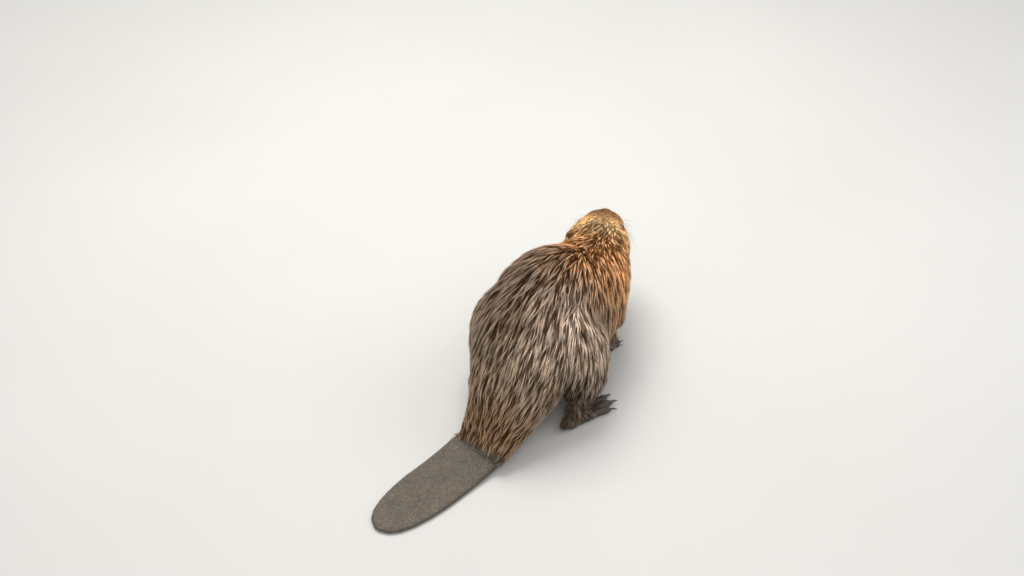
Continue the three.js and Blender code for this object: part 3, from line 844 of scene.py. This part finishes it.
def grow(roots, normals, locks, rings):
    """Middle lines, sides and normals of hairs with some rings of corners and a tip."""
    count = len(roots)
    _, length, depth, _, clump, _ = coat_map(roots)
    shares = np.linspace(0, 1, rings + 1) ** 0.9 * CHANCE.uniform(0.78, 1.0, (count, 1))
    line = along_lock(lock_points, locks, shares)
    side = unit(along_lock(lock_sides, locks, shares))
    up = unit(along_lock(lock_ups, locks, shares))
    forward = np.cross(side, up)
    offset = roots - lock_points[locks, 0]
    a, b, c = ((offset * axis[:, 0]).sum(1)[:, None] for axis in (forward, side, up))
    clump = np.where(lock_pale[locks], 0.35 + 0.68 * clump, 0.75 * clump)
    drawn = clump[:, None] * CHANCE.uniform(0.85, 1.05, (count, 1)) * soft_step(shares, 0.0, 0.72)
    stray = CHANCE.normal(0, 1, (count, 1)) * (length * 0.016)[:, None] * shares
    rise = CHANCE.normal(0, 1, (count, 1)) * (depth * 0.10)[:, None] * shares
    middle = line + forward * (a * (1 - 0.5 * drawn))[..., None] + side * (b * (1 - drawn) + stray)[..., None] \
        + up * (c * (1 - shares) + rise - 0.0006 * (shares == 0))[..., None]
    middle[..., 2] = np.maximum(middle[..., 2], 0.0012)
    return middle, side, up


print("hairs follow their locks with", STEPS, "steps")

# %% Hairs as closed spikes in one mesh
def spike_pattern(rings):
    """Faces of one spike as corner numbers, and where each corner lies on its patch, 0 to 1."""
    faces, spots = [], []
    for i in range(rings - 1):
        for k in range(3):
            faces.append([3 * i + k, 3 * i + (k + 1) % 3, 3 * i + 3 + (k + 1) % 3, 3 * i + 3 + k])
            spots.append([(k / 3, i / rings), ((k + 1) / 3, i / rings), ((k + 1) / 3, (i + 1) / rings),
                          (k / 3, (i + 1) / rings)])
    last = 3 * (rings - 1)
    for k in range(3):
        faces.append([last + k, last + (k + 1) % 3, last + 3])
        spots.append([(k / 3, 1 - 1 / rings), ((k + 1) / 3, 1 - 1 / rings), ((k + 0.5) / 3, 1)])
    faces.append([2, 1, 0])
    spots.append([(0.66, 0), (0.33, 0), (0.5, 0.1)])
    return faces, spots


def spikes(name, lines, sides, ups, widths, map_spots, shades, colours):
    """One mesh of closed three-sided spikes, each with its patch on the map OFBake."""
    count, rings = lines.shape[0], lines.shape[1] - 1
    taper = np.array([0.75, 1.0, 0.72, 0.45])[:rings] if rings > 2 else np.array([0.85, 0.8])
    turn = CHANCE.uniform(0, 2.09, (count, 1, 1)) + np.arange(3) * 2 * math.pi / 3
    half = (widths[:, None] * taper / 2)[..., None]
    ring = lines[:, :rings, None] + sides[:, :rings, None] * (np.cos(turn) * half)[..., None] \
        + ups[:, :rings, None] * (np.sin(turn) * half * 0.6)[..., None]
    points = np.concatenate([ring.reshape(count, rings * 3, 3), lines[:, rings:]], 1)
    per = points.shape[1]
    faces, spots = spike_pattern(rings)
    loops = np.concatenate(faces)
    sizes = np.array([len(face) for face in faces])
    mesh = bpy.data.meshes.new(name)
    mesh.vertices.add(count * per)
    mesh.vertices.foreach_set("co", points.astype(np.float32).ravel())
    mesh.loops.add(count * len(loops))
    mesh.loops.foreach_set("vertex_index", (loops + np.arange(count)[:, None] * per).astype(np.int32).ravel())
    mesh.polygons.add(count * len(sizes))
    starts = np.concatenate([[0], np.cumsum(sizes)[:-1]]) + np.arange(count)[:, None] * len(loops)
    mesh.polygons.foreach_set("loop_start", starts.astype(np.int32).ravel())
    mesh.update(calc_edges=True)
    patch = mesh.uv_layers.new(name="OFBake")
    where = map_spots[:, None] + (np.concatenate(spots) - 0.5) * 0.003
    patch.data.foreach_set("uv", where.astype(np.float32).ravel())
    share = np.append(np.repeat(np.arange(rings) / rings, 3), 1.0)
    hair = np.ones((count, per, 4))
    hair[..., 0], hair[..., 1:3] = 1 - (1 - share) * shades[:, 2:], shades[:, None, :2]
    write(mesh, "hair", "FLOAT_COLOR", hair.reshape(-1, 4))
    write(mesh, "marking", "FLOAT_COLOR", with_alpha(np.repeat(colours, per, axis=0)))
    mesh.shade_smooth()
    thing = bpy.data.objects.new(name, mesh)
    bpy.context.collection.objects.link(thing)
    return thing


def triangles_of(thing):
    return len(thing.data.loops) - 2 * len(thing.data.polygons)


print("a hair of 3 rings has", sum(len(f) - 2 for f in spike_pattern(3)[0]), "triangles, of 2 rings",
      sum(len(f) - 2 for f in spike_pattern(2)[0]))

# %% [markdown]
# ## Parts of the coat
# The coat is made in parts, so that none is too heavy. A hair belongs to a part by where its root is. Each
# part has a map: the skin under it, cut open along one line and laid flat. Round the body or a limb is
# across, and along it is up, and every hair is a small patch at its root's place.

# %% Share out the roots
roots, normals = scatter(HAIRS)
forward, left, up = body_frame(roots)
ahead, head_left, head_up = head_frame(roots)
on_the_head = (ahead > -34 - 0.25 * np.abs(head_left)) & (np.abs(head_left) < 95) & (up > 105)
eye_clear = np.minimum(*[np.where(eye_place(roots, s)[0] > 0, eye_place(roots, s)[1], 9) for s in eyes]) > 1.25
low_leg = (up < 78) & ((forward > 385) & (np.abs(left) > 50) | (forward > 150) & (np.abs(left) > 84))
part_of = np.select(
    [on_the_head & (head_left > 0), on_the_head, low_leg, (normals[:, 2] < -0.35) & (forward > 30),
     forward > 405, forward < 118, (normals[:, 2] > 0.55) & (left > 0), normals[:, 2] > 0.55,
     left > 0],
    ["coat_head_left", "coat_head_right", "coat_legs", "coat_belly", "coat_shoulders", "coat_tail_root",
     "coat_back_left", "coat_back_right", "coat_side_left"], "coat_side_right")
part_names = sorted(set(part_of))
print({name: int((part_of == name).sum()) for name in part_names})


# %% Maps of the skin
def unrolled(points, name):
    """Places on a part's skin laid flat: the angle round its middle line, and the way along it."""
    forward, left, up = body_frame(points)
    if name.startswith("coat_head"):
        ahead, side, rise = head_frame(points)
        around, along = np.arctan2(side, rise), ahead
    elif name == "coat_legs":
        limb = (forward > 300) * 2 + (left > 0)
        middle = np.where(forward > 300, 415, 205 + (up - 40) * 0.4)
        around = (np.arctan2(forward - middle, np.abs(left) - np.where(forward > 300, 78, 116)) / 6.4 + 0.5 + limb)
        along = up
    else:
        axis = np.interp(forward, (0, 60, 130, 250, 400, 520), (18, 45, 90, 130, 160, 188))
        around, along = np.arctan2(left, (up - axis) * (-1 if name == "coat_belly" else 1)), forward
    flat = np.column_stack([around, along])
    low, high = flat.min(0), flat.max(0)
    return 0.01 + 0.98 * (flat - low) / (high - low)


print("maps ready")

# %% Make the parts
lock_kd = KDTree(LOCKS)
for number, root in enumerate(lock_roots):
    lock_kd.insert(root, number)
lock_kd.balance()
lock_shade = np.where(lock_pale, CHANCE.uniform(0.66, 1.0, LOCKS), CHANCE.uniform(0, 0.42, LOCKS))
coat = {}
for name in part_names:
    mine = (part_of == name) & eye_clear
    spots, ways = roots[mine], normals[mine]
    locks = np.array([lock_kd.find(spot)[1] for spot in spots])
    _, length, _, crowd, clump, colour = coat_map(spots)
    rings = 2 if name.startswith(("coat_head", "coat_legs", "coat_belly")) else 3
    lines, sides, ups = grow(spots, ways, locks, rings)
    to_lips = np.minimum(line_distance(spots, mouth), line_distance(spots, philtrum) + 0.001)
    trim = 0.15 + 0.85 * soft_step(to_lips, 0.003, 0.012)
    lines = lines[:, :1] + (lines - lines[:, :1]) * trim[:, None, None]
    over_eye = np.min([np.where(eye_place(lines, s)[0] > 0, eye_place(lines, s)[1], 9) for s in eyes], axis=(0, 2)) < 1.1
    widths = (0.00024 + 0.0142 * length) * CHANCE.uniform(0.7, 1.25, len(spots)) * np.where(over_eye, 0.2, 1)
    contrast = 0.45 + 0.55 * soft_step(clump, 0.1, 0.75)
    shades = np.column_stack([0.5 + (lock_shade[locks] - 0.5) * contrast,
                              0.5 + (CHANCE.random(len(spots)) - 0.5) * contrast,
                              0.45 + 0.55 * soft_step(length, 0.008, 0.03)])
    coat[name] = spikes(name, lines, sides, ups, widths, unrolled(spots, name), shades, colour)
    print(name, len(spots), "hairs,", triangles_of(coat[name]), "triangles")
print("coat in all", sum(triangles_of(part) for part in coat.values()))

# %% [markdown]
# ## Whiskers, eyes and claws
# The whiskers are hairs too, long and dark, in rows on the side of the upper lip. The eyes are dark wet
# balls behind the lids. A claw is a curved horn that grows from a rounded base to a blunt point: a ring of
# edges is extruded along its curve and drawn in at every step. Each starts and ends where its solid does.

# %% Whiskers
def whiskers():
    """Lines of the whiskers from the lip, bending back and down."""
    lines, sides, ups = [], [], []
    for side in (1, -1):
        for row in range(4):
            for k in range(6):
                ahead = 124 - 6.2 * k - 2 * row
                root, normal = onto_skin([on_head(ahead, side * (34 + k), -4 - 6.5 * row)])
                root, normal = root[0], normal[0]
                reach = (0.030 + 0.004 * k) * CHANCE.uniform(0.8, 1.1)
                back = head_way(-1, 0, -0.25 - 0.1 * row) * 1000
                shares = np.linspace(0, 1, 4)[:, None]
                way = unit(normal * 0.9 + unit(back) * (0.5 + 0.1 * k))
                line = root + (way * shares + unit(back) * 0.35 * shares ** 2) * reach - normal * 0.0006 * (shares == 0)
                across = unit(np.cross(normal, way))
                lines.append(line)
                sides.append(np.tile(across, (4, 1)))
                ups.append(np.tile(np.cross(way, across), (4, 1)))
    return np.array(lines), np.array(sides), np.array(ups)


lines, sides, ups = whiskers()
count = len(lines)
spread = np.column_stack([0.05 + 0.9 * (np.arange(count) % 6) / 5, 0.05 + 0.9 * (np.arange(count) // 6) / 7])
whisker = spikes("whiskers", lines, sides, ups, np.full(count, 0.0007), spread,
                 np.full((count, 3), 0.5), np.tile(linear(58, 46, 38), (count, 1)))
print(count, "whiskers")

# %% Eyes
def eyeball(side):
    ball = bmesh.new()
    bmesh.ops.create_uvsphere(ball, u_segments=40, v_segments=24, radius=EYE_RADIUS)
    out, _, _ = eye_axes(side)
    bmesh.ops.transform(ball, matrix=Vector(out).to_track_quat("Z", "Y").to_matrix().to_4x4(), verts=ball.verts)
    bmesh.ops.translate(ball, vec=eyes[side], verts=ball.verts)
    return ball


def as_piece(name, shape):
    """A finished bmesh as a smooth object at the origin."""
    mesh = bpy.data.meshes.new(name)
    shape.to_mesh(mesh)
    shape.free()
    mesh.shade_smooth()
    thing = bpy.data.objects.new(name, mesh)
    bpy.context.collection.objects.link(thing)
    return thing


eye_pieces = {side: as_piece(f"eyeball_{side}", eyeball(side)) for side in ("left", "right")}
print("eyeballs", [len(thing.data.polygons) for thing in eye_pieces.values()])

# %% Claws
def claw_ends(name, foot):
    """Base, tip and radius of a claw's solid, with the foot telling which end is its base."""
    corners = np.array([v.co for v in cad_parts[name].data.vertices])
    middle = np.array(sum(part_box(foot), Vector()) / 2)
    way = corners.mean(0) - middle
    way[2] = 0
    reach = (corners - middle) @ unit(way)
    low, high = reach.min(), reach.max()
    base = corners[reach < low + 0.3 * (high - low)]
    tip = corners[reach > high - 0.1 * (high - low)].mean(0)
    centre = base.mean(0)
    return centre, tip, np.linalg.norm(base - centre, axis=1).mean()


def horn(shape, base, tip, radius, steps=6, around=10):
    """Extrudes one claw from a ring at its base to its tip."""
    way = Vector(tip - base)
    turn = way.to_track_quat("Z", "Y").to_matrix().to_4x4()
    start = Matrix.Translation(Vector(base) - way * 0.12) @ turn @ Matrix.Diagonal((1.05, 1.15, 1, 1))
    made = bmesh.ops.create_circle(shape, cap_ends=True, segments=around, radius=radius, matrix=start)
    ring = [e for e in shape.edges if all(v in set(made["verts"]) for v in e.verts)]
    for step in range(steps):
        pushed = bmesh.ops.extrude_edge_only(shape, edges=ring)["geom"]
        verts = [g for g in pushed if isinstance(g, bmesh.types.BMVert)]
        ring = [g for g in pushed if isinstance(g, bmesh.types.BMEdge)]
        share = (step + 1) / steps
        bow = Vector((0, 0, radius * 0.45 * math.sin(math.pi * share) - radius * 0.45 * math.sin(math.pi * step / steps)))
        bmesh.ops.translate(shape, vec=way * 1.06 / steps + bow, verts=verts)
        middle = sum((v.co for v in verts), Vector()) / len(verts)
        narrow = math.sqrt(max(1 - share ** 1.6, 0.012)) / math.sqrt(1 - (step / steps) ** 1.6)
        bmesh.ops.scale(shape, vec=(narrow,) * 3, space=Matrix.Translation(-middle), verts=verts)
    bmesh.ops.edgeloop_fill(shape, edges=ring)
    return shape


claw_pieces = {}
for foot, prefix in (("hand", "claw"), ("hind_foot", "hind_claw")):
    for side in ("left", "right"):
        shape = bmesh.new()
        for i in range(1, 6):
            base, tip, radius = claw_ends(f"{prefix}_{side}_{i}", f"{foot}_{side}")
            horn(shape, base, tip, radius)
        bmesh.ops.recalc_face_normals(shape, faces=shape.faces)
        name = f"{foot}_claws_{side}"
        claw_pieces[name] = as_piece(name, shape)
        claw_pieces[name]["stands for"] = [f"{prefix}_{side}_{i}" for i in range(1, 6)]
print("claws", {name: len(thing.data.polygons) for name, thing in claw_pieces.items()})

# %% [markdown]
# ## Scales of the tail
# The paddle isn't furred but covered with small flat six-sided scales in close rows, with a dark line
# between them. There are well over a thousand, so each has only a few faces: a six-sided plate, its rim
# sunk into the skin and its top a little domed. They are laid in rows across the tail and each corner is
# set down on the skin.

# %% Lay the scales
SCALE_PITCH, SCALE_LENGTH = 4.3, 4.6


def under(points):
    """The skin straight below the places, the way it faces there, and whether there is any."""
    hits = [skin_tree.ray_cast(point, Vector((0, 0, -1))) for point in points]
    there = np.array([hit[0] is not None for hit in hits])
    where = np.array([hit[0] if hit[0] is not None else point for hit, point in zip(hits, points)])
    return where, unit(face_normals[[hit[2] if hit[2] is not None else 0 for hit in hits]]), there


def tail_scales():
    """The corners of every plate: its rim, the ring round its top, and its middle."""
    rows = []
    for r in range(-2, int(276 / SCALE_LENGTH)):
        for c in range(-16, 17):
            rows.append((r * SCALE_LENGTH, (c + 0.5 * (r % 2)) * SCALE_PITCH))
    spots = np.array(rows) + CHANCE.normal(0, 0.22, (len(rows), 2))
    corner = np.arange(6) * math.pi / 3 + math.pi / 6
    size = CHANCE.uniform(0.90, 1.04, len(spots))
    rims, whole = [], np.ones(len(spots), bool)
    for reach, height in ((1.0, -0.15), (0.80, 0.34), (0.0, 0.50)):
        angles = corner if reach else np.zeros(1)
        b = spots[:, :1] + np.cos(angles) * size[:, None] * reach * SCALE_LENGTH * 0.60
        l = spots[:, 1:] + np.sin(angles) * size[:, None] * reach * SCALE_PITCH * 0.56
        found, facing, there = under(on_tail(b.ravel(), l.ravel(), 60))
        rims.append((found + facing * height / 1000).reshape(len(spots), -1, 3))
        whole &= (there & (facing[:, 2] > 0.3)).reshape(len(spots), -1).all(1)
    return np.concatenate(rims, 1)[whole]


scale_points = tail_scales()
shape = bmesh.new()
for plate in scale_points:
    verts = [shape.verts.new(p) for p in plate]
    for k in range(6):
        n = (k + 1) % 6
        shape.faces.new((verts[k], verts[n], verts[6 + n], verts[6 + k]))
        shape.faces.new((verts[6 + k], verts[6 + n], verts[12]))
shape.normal_update()
lid_faces = [f for f in shape.faces if len(f.verts) == 3]
if sum(f.normal.z for f in lid_faces) < 0:
    bmesh.ops.reverse_faces(shape, faces=shape.faces)
scales = as_piece("tail_scales", shape)
write(scales.data, "shade", "FLOAT", np.repeat(CHANCE.random(len(scale_points)), 13))
write(scales.data, "edge", "FLOAT", np.tile([1.0] * 6 + [0.35] * 6 + [0.0], len(scale_points)))
print(len(scale_points), "scales,", triangles_of(scales), "triangles")

# %% [markdown]
# ## Finishes
# The coat's colour comes from the markings. A hair is dark at its root, has its marking's colour along its
# length and a paler tip, and locks and hairs differ a little in lightness. The pale locks and their near-white
# tips are partly painted sheen, the highlights of wet locks put into their colour, and the darkest locks are
# partly painted shade in the gaps between locks. That is one node group, placed in the coat's material and in
# the skin's. Damp fur has a soft sheen, so its roughness is fairly low.

# %% The coat's colour as a node group
coat_group = bpy.data.node_groups.new("coat colour", "ShaderNodeTree")
for name, kind in (("Marking", "NodeSocketColor"), ("Along", "NodeSocketFloat"), ("Lock", "NodeSocketFloat"),
                   ("Hair", "NodeSocketFloat")):
    coat_group.interface.new_socket(name=name, in_out="INPUT", socket_type=kind)
for name, kind in (("Colour", "NodeSocketColor"), ("Roughness", "NodeSocketFloat"), ("Sheen", "NodeSocketFloat")):
    coat_group.interface.new_socket(name=name, in_out="OUTPUT", socket_type=kind)
given = coat_group.nodes.new("NodeGroupInput").outputs
result = coat_group.nodes.new("NodeGroupOutput")
spots = node(coat_group, "ShaderNodeTexCoord").outputs["Object"]
cloud = node(coat_group, "ShaderNodeTexNoise", {"Vector": spots, "Scale": 22.0, "Detail": 3.0}).outputs["Fac"]
# Painted sheen and shade: pale locks are lightened up to 2.8 times, partly as the highlights of wet locks, and dark
# locks darkened to 0.18, partly as the shade in the gaps between them.
factors = [
    ease(coat_group, given["Along"], 0.0, 0.6, 0.20, 1.0),
    ease(coat_group, given["Along"], 0.45, 1.0, 1.0, 1.5),
    ease(coat_group, given["Lock"], 0.0, 1.0, 0.18, 2.8),
    ease(coat_group, given["Hair"], 0.0, 1.0, 0.75, 1.30),
    ease(coat_group, cloud, 0.3, 0.7, 0.84, 1.16),
]
light = factors[0]
for factor in factors[1:]:
    light = maths(coat_group, "MULTIPLY", light, factor)
tinted = node(coat_group, "ShaderNodeVectorMath", {0: given["Marking"], "Scale": light}, operation="SCALE").outputs[0]
warm = node(coat_group, "ShaderNodeVectorMath", {0: tinted}, operation="MULTIPLY")
warm.inputs[1].default_value = (1.04, 0.82, 0.60)
in_gap = ease(coat_group, given["Lock"], 0.1, 0.6, 1.0, 0.0)
tinted = node(coat_group, "ShaderNodeMix", {0: in_gap, 6: tinted, 7: warm.outputs[0]}, data_type="RGBA").outputs[2]
# The near-white tan tips of the pale locks are partly painted sheen, the highlight of a wet lock.
pale = maths(coat_group, "MULTIPLY", ease(coat_group, given["Along"], 0.4, 0.95, 0.0, 0.62),
             ease(coat_group, given["Lock"], 0.5, 0.85))
tan_tip_and_sheen = node(coat_group, "ShaderNodeMix", {0: pale, 6: tinted, 7: (*linear(228, 211, 190), 1)}, data_type="RGBA")
coat_group.links.new(tan_tip_and_sheen.outputs[2], result.inputs["Colour"])
coat_group.links.new(ease(coat_group, given["Lock"], 0.0, 1.0, 0.46, 0.36), result.inputs["Roughness"])
coat_group.links.new(ease(coat_group, given["Lock"], 0.0, 1.0, 0.10, 0.85), result.inputs["Sheen"])
print("coat colour group,", len(coat_group.nodes), "nodes")

# %% The coat's material
def attribute(tree, name, output="Color"):
    return node(tree, "ShaderNodeAttribute", attribute_name=name).outputs[output]


coat_finish, tree, shader = finish_tree("damp guard hair")
hair = node(tree, "ShaderNodeSeparateColor", {0: attribute(tree, "hair")}).outputs
coloured = node(tree, "ShaderNodeGroup", node_tree=coat_group)
for key, value in (("Marking", attribute(tree, "marking")), ("Along", hair[0]), ("Lock", hair[1]), ("Hair", hair[2])):
    tree.links.new(value, coloured.inputs[key])
tree.links.new(coloured.outputs["Colour"], shader.inputs["Base Color"])
tree.links.new(coloured.outputs["Roughness"], shader.inputs["Roughness"])
tree.links.new(coloured.outputs["Sheen"], shader.inputs["Specular IOR Level"])
for part in coat.values():
    part.data.materials.append(coat_finish)
print(coat_finish.name, "on", len(coat), "parts")

# %% [markdown]
# The skin under the fur only has to be dark and broken where it shows between the locks. On the feet it is
# wrinkled and pebbled, and on the tail's underside and edge it keeps the pattern of the scales.

# %% The skin's material
skin_finish, tree, shader = finish_tree("skin under the coat")
spots = node(tree, "ShaderNodeTexCoord").outputs["Object"]
streaks = node(tree, "ShaderNodeMapping", {"Vector": spots, "Scale": (1, 0.16, 1)}).outputs[0]
fine_noise = node(tree, "ShaderNodeTexNoise", {"Vector": streaks, "Scale": 900.0, "Detail": 2.0}).outputs["Fac"]
soft_noise = node(tree, "ShaderNodeTexNoise", {"Vector": spots, "Scale": 120.0, "Detail": 4.0}).outputs["Fac"]
coloured = node(tree, "ShaderNodeGroup", node_tree=coat_group)
for key, value in (("Marking", attribute(tree, "marking")), ("Lock", soft_noise), ("Hair", fine_noise)):
    tree.links.new(value, coloured.inputs[key])
coloured.inputs["Along"].default_value = 0.42
bare_light = maths(tree, "MULTIPLY", ease(tree, soft_noise, 0.3, 0.7, 0.75, 1.2), ease(tree, fine_noise, 0.2, 0.8, 0.9, 1.1))
pebbles = node(tree, "ShaderNodeTexVoronoi", {"Vector": spots, "Scale": 520.0}, feature="DISTANCE_TO_EDGE").outputs[0]
plates = node(tree, "ShaderNodeTexVoronoi", {"Vector": spots, "Scale": 230.0, "Randomness": 0.6},
              feature="DISTANCE_TO_EDGE").outputs[0]
is_tail = attribute(tree, "tail", "Fac")
cells = node(tree, "ShaderNodeMix", {0: is_tail, 2: ease(tree, pebbles, 0, 0.25), 3: ease(tree, plates, 0, 0.16)}).outputs[0]
bare_light = maths(tree, "MULTIPLY", bare_light, ease(tree, cells, 0, 1, 0.62, 1.06))
bare_light = maths(tree, "MULTIPLY", bare_light, ease(tree, is_tail, 0, 1, 1.0, 0.72))
bare = node(tree, "ShaderNodeVectorMath", {0: attribute(tree, "marking"), "Scale": bare_light}, operation="SCALE").outputs[0]
furred = attribute(tree, "furred", "Fac")
both = node(tree, "ShaderNodeMix", {0: furred, 6: bare, 7: coloured.outputs["Colour"]}, data_type="RGBA").outputs[2]
tree.links.new(both, shader.inputs["Base Color"])
relief = node(tree, "ShaderNodeMix", {0: furred, 2: maths(tree, "ADD", cells, soft_noise), 3: fine_noise}).outputs[0]
bump = node(tree, "ShaderNodeBump", {"Height": relief, "Strength": 0.55, "Distance": 0.0006}).outputs[0]
tree.links.new(bump, shader.inputs["Normal"])
tree.links.new(ease(tree, soft_noise, 0.2, 0.8, 0.45, 0.68), shader.inputs["Roughness"])
skin.data.materials.clear()
skin.data.materials.append(skin_finish)
print(skin_finish.name, len(tree.nodes), "nodes")

# %% The scales' material
scale_finish, tree, shader = finish_tree("tail scales")
spots = node(tree, "ShaderNodeTexCoord").outputs["Object"]
cloud = node(tree, "ShaderNodeTexNoise", {"Vector": spots, "Scale": 34.0, "Detail": 5.0}).outputs["Fac"]
grain = node(tree, "ShaderNodeTexNoise", {"Vector": spots, "Scale": 1400.0, "Detail": 2.0}).outputs["Fac"]
light = maths(tree, "MULTIPLY", ease(tree, attribute(tree, "shade", "Fac"), 0, 1, 0.74, 1.12),
              ease(tree, cloud, 0.3, 0.7, 0.76, 1.20))
light = maths(tree, "MULTIPLY", light, ease(tree, attribute(tree, "edge", "Fac"), 0.1, 0.9, 1.14, 0.16))
tone = node(tree, "ShaderNodeVectorMath", {"Scale": light}, operation="SCALE")
tone.inputs[0].default_value = linear(*BARE_TONES["tail"])
tree.links.new(tone.outputs[0], shader.inputs["Base Color"])
bump = node(tree, "ShaderNodeBump", {"Height": grain, "Strength": 0.35, "Distance": 0.0003}).outputs[0]
tree.links.new(bump, shader.inputs["Normal"])
tree.links.new(ease(tree, cloud, 0.3, 0.7, 0.34, 0.55), shader.inputs["Roughness"])
scales.data.materials.append(scale_finish)
print(scale_finish.name)

# %% Horn, eyes and whiskers
horn_finish, tree, shader = finish_tree("claw horn")
spots = node(tree, "ShaderNodeTexCoord").outputs["Object"]
grain = node(tree, "ShaderNodeTexNoise", {"Vector": spots, "Scale": 420.0, "Detail": 4.0}).outputs["Fac"]
tone = node(tree, "ShaderNodeValToRGB", {"Fac": grain})
tone.color_ramp.elements[0].position, tone.color_ramp.elements[1].position = 0.3, 0.75
tone.color_ramp.elements[0].color = (*linear(40, 33, 29), 1)
tone.color_ramp.elements[1].color = (*linear(98, 82, 68), 1)
tree.links.new(tone.outputs["Color"], shader.inputs["Base Color"])
bump = node(tree, "ShaderNodeBump", {"Height": grain, "Strength": 0.3, "Distance": 0.0002}).outputs[0]
tree.links.new(bump, shader.inputs["Normal"])
shader.inputs["Roughness"].default_value = 0.34
for thing in claw_pieces.values():
    thing.data.materials.append(horn_finish)

eye_finish, tree, shader = finish_tree("dark wet eye")
spots = node(tree, "ShaderNodeTexCoord").outputs["Object"]
cloud = node(tree, "ShaderNodeTexNoise", {"Vector": spots, "Scale": 500.0, "Detail": 3.0}).outputs["Fac"]
tone = node(tree, "ShaderNodeValToRGB", {"Fac": cloud})
tone.color_ramp.elements[0].color = (*linear(7, 5, 4), 1)
tone.color_ramp.elements[1].color = (*linear(24, 15, 10), 1)
tree.links.new(tone.outputs["Color"], shader.inputs["Base Color"])
shader.inputs["Roughness"].default_value = 0.09
shader.inputs["Specular IOR Level"].default_value = 0.32
for thing in eye_pieces.values():
    thing.data.materials.append(eye_finish)
whisker.data.materials.append(coat_finish)
print(horn_finish.name, eye_finish.name)

# %% [markdown]
# ## Joining the frame
# Every piece rides on the one body of this still model, and the solids it replaces are hidden; the claw pieces
# also say which solids they stand for. The skin stands for all the flesh, the eyeballs and claws for their own
# solids, and the coat lies over them.

# %% Ride and replace
slots = {"skin": "fur_back", "tail_scales": "tail_scales", "whiskers": "fur_front"}
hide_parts(*flesh_names)
for side, thing in eye_pieces.items():
    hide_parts(f"eye_{side}")
    slots[thing.name] = "eye"
for thing in claw_pieces.values():
    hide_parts(*list(thing["stands for"]))
    slots[thing.name] = "claw"
for name in coat:
    slots[name] = "fur_front" if name in ("coat_head_left", "coat_head_right", "coat_shoulders") else "fur_back"
for name, slot in slots.items():
    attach(bpy.data.objects[name], "root")
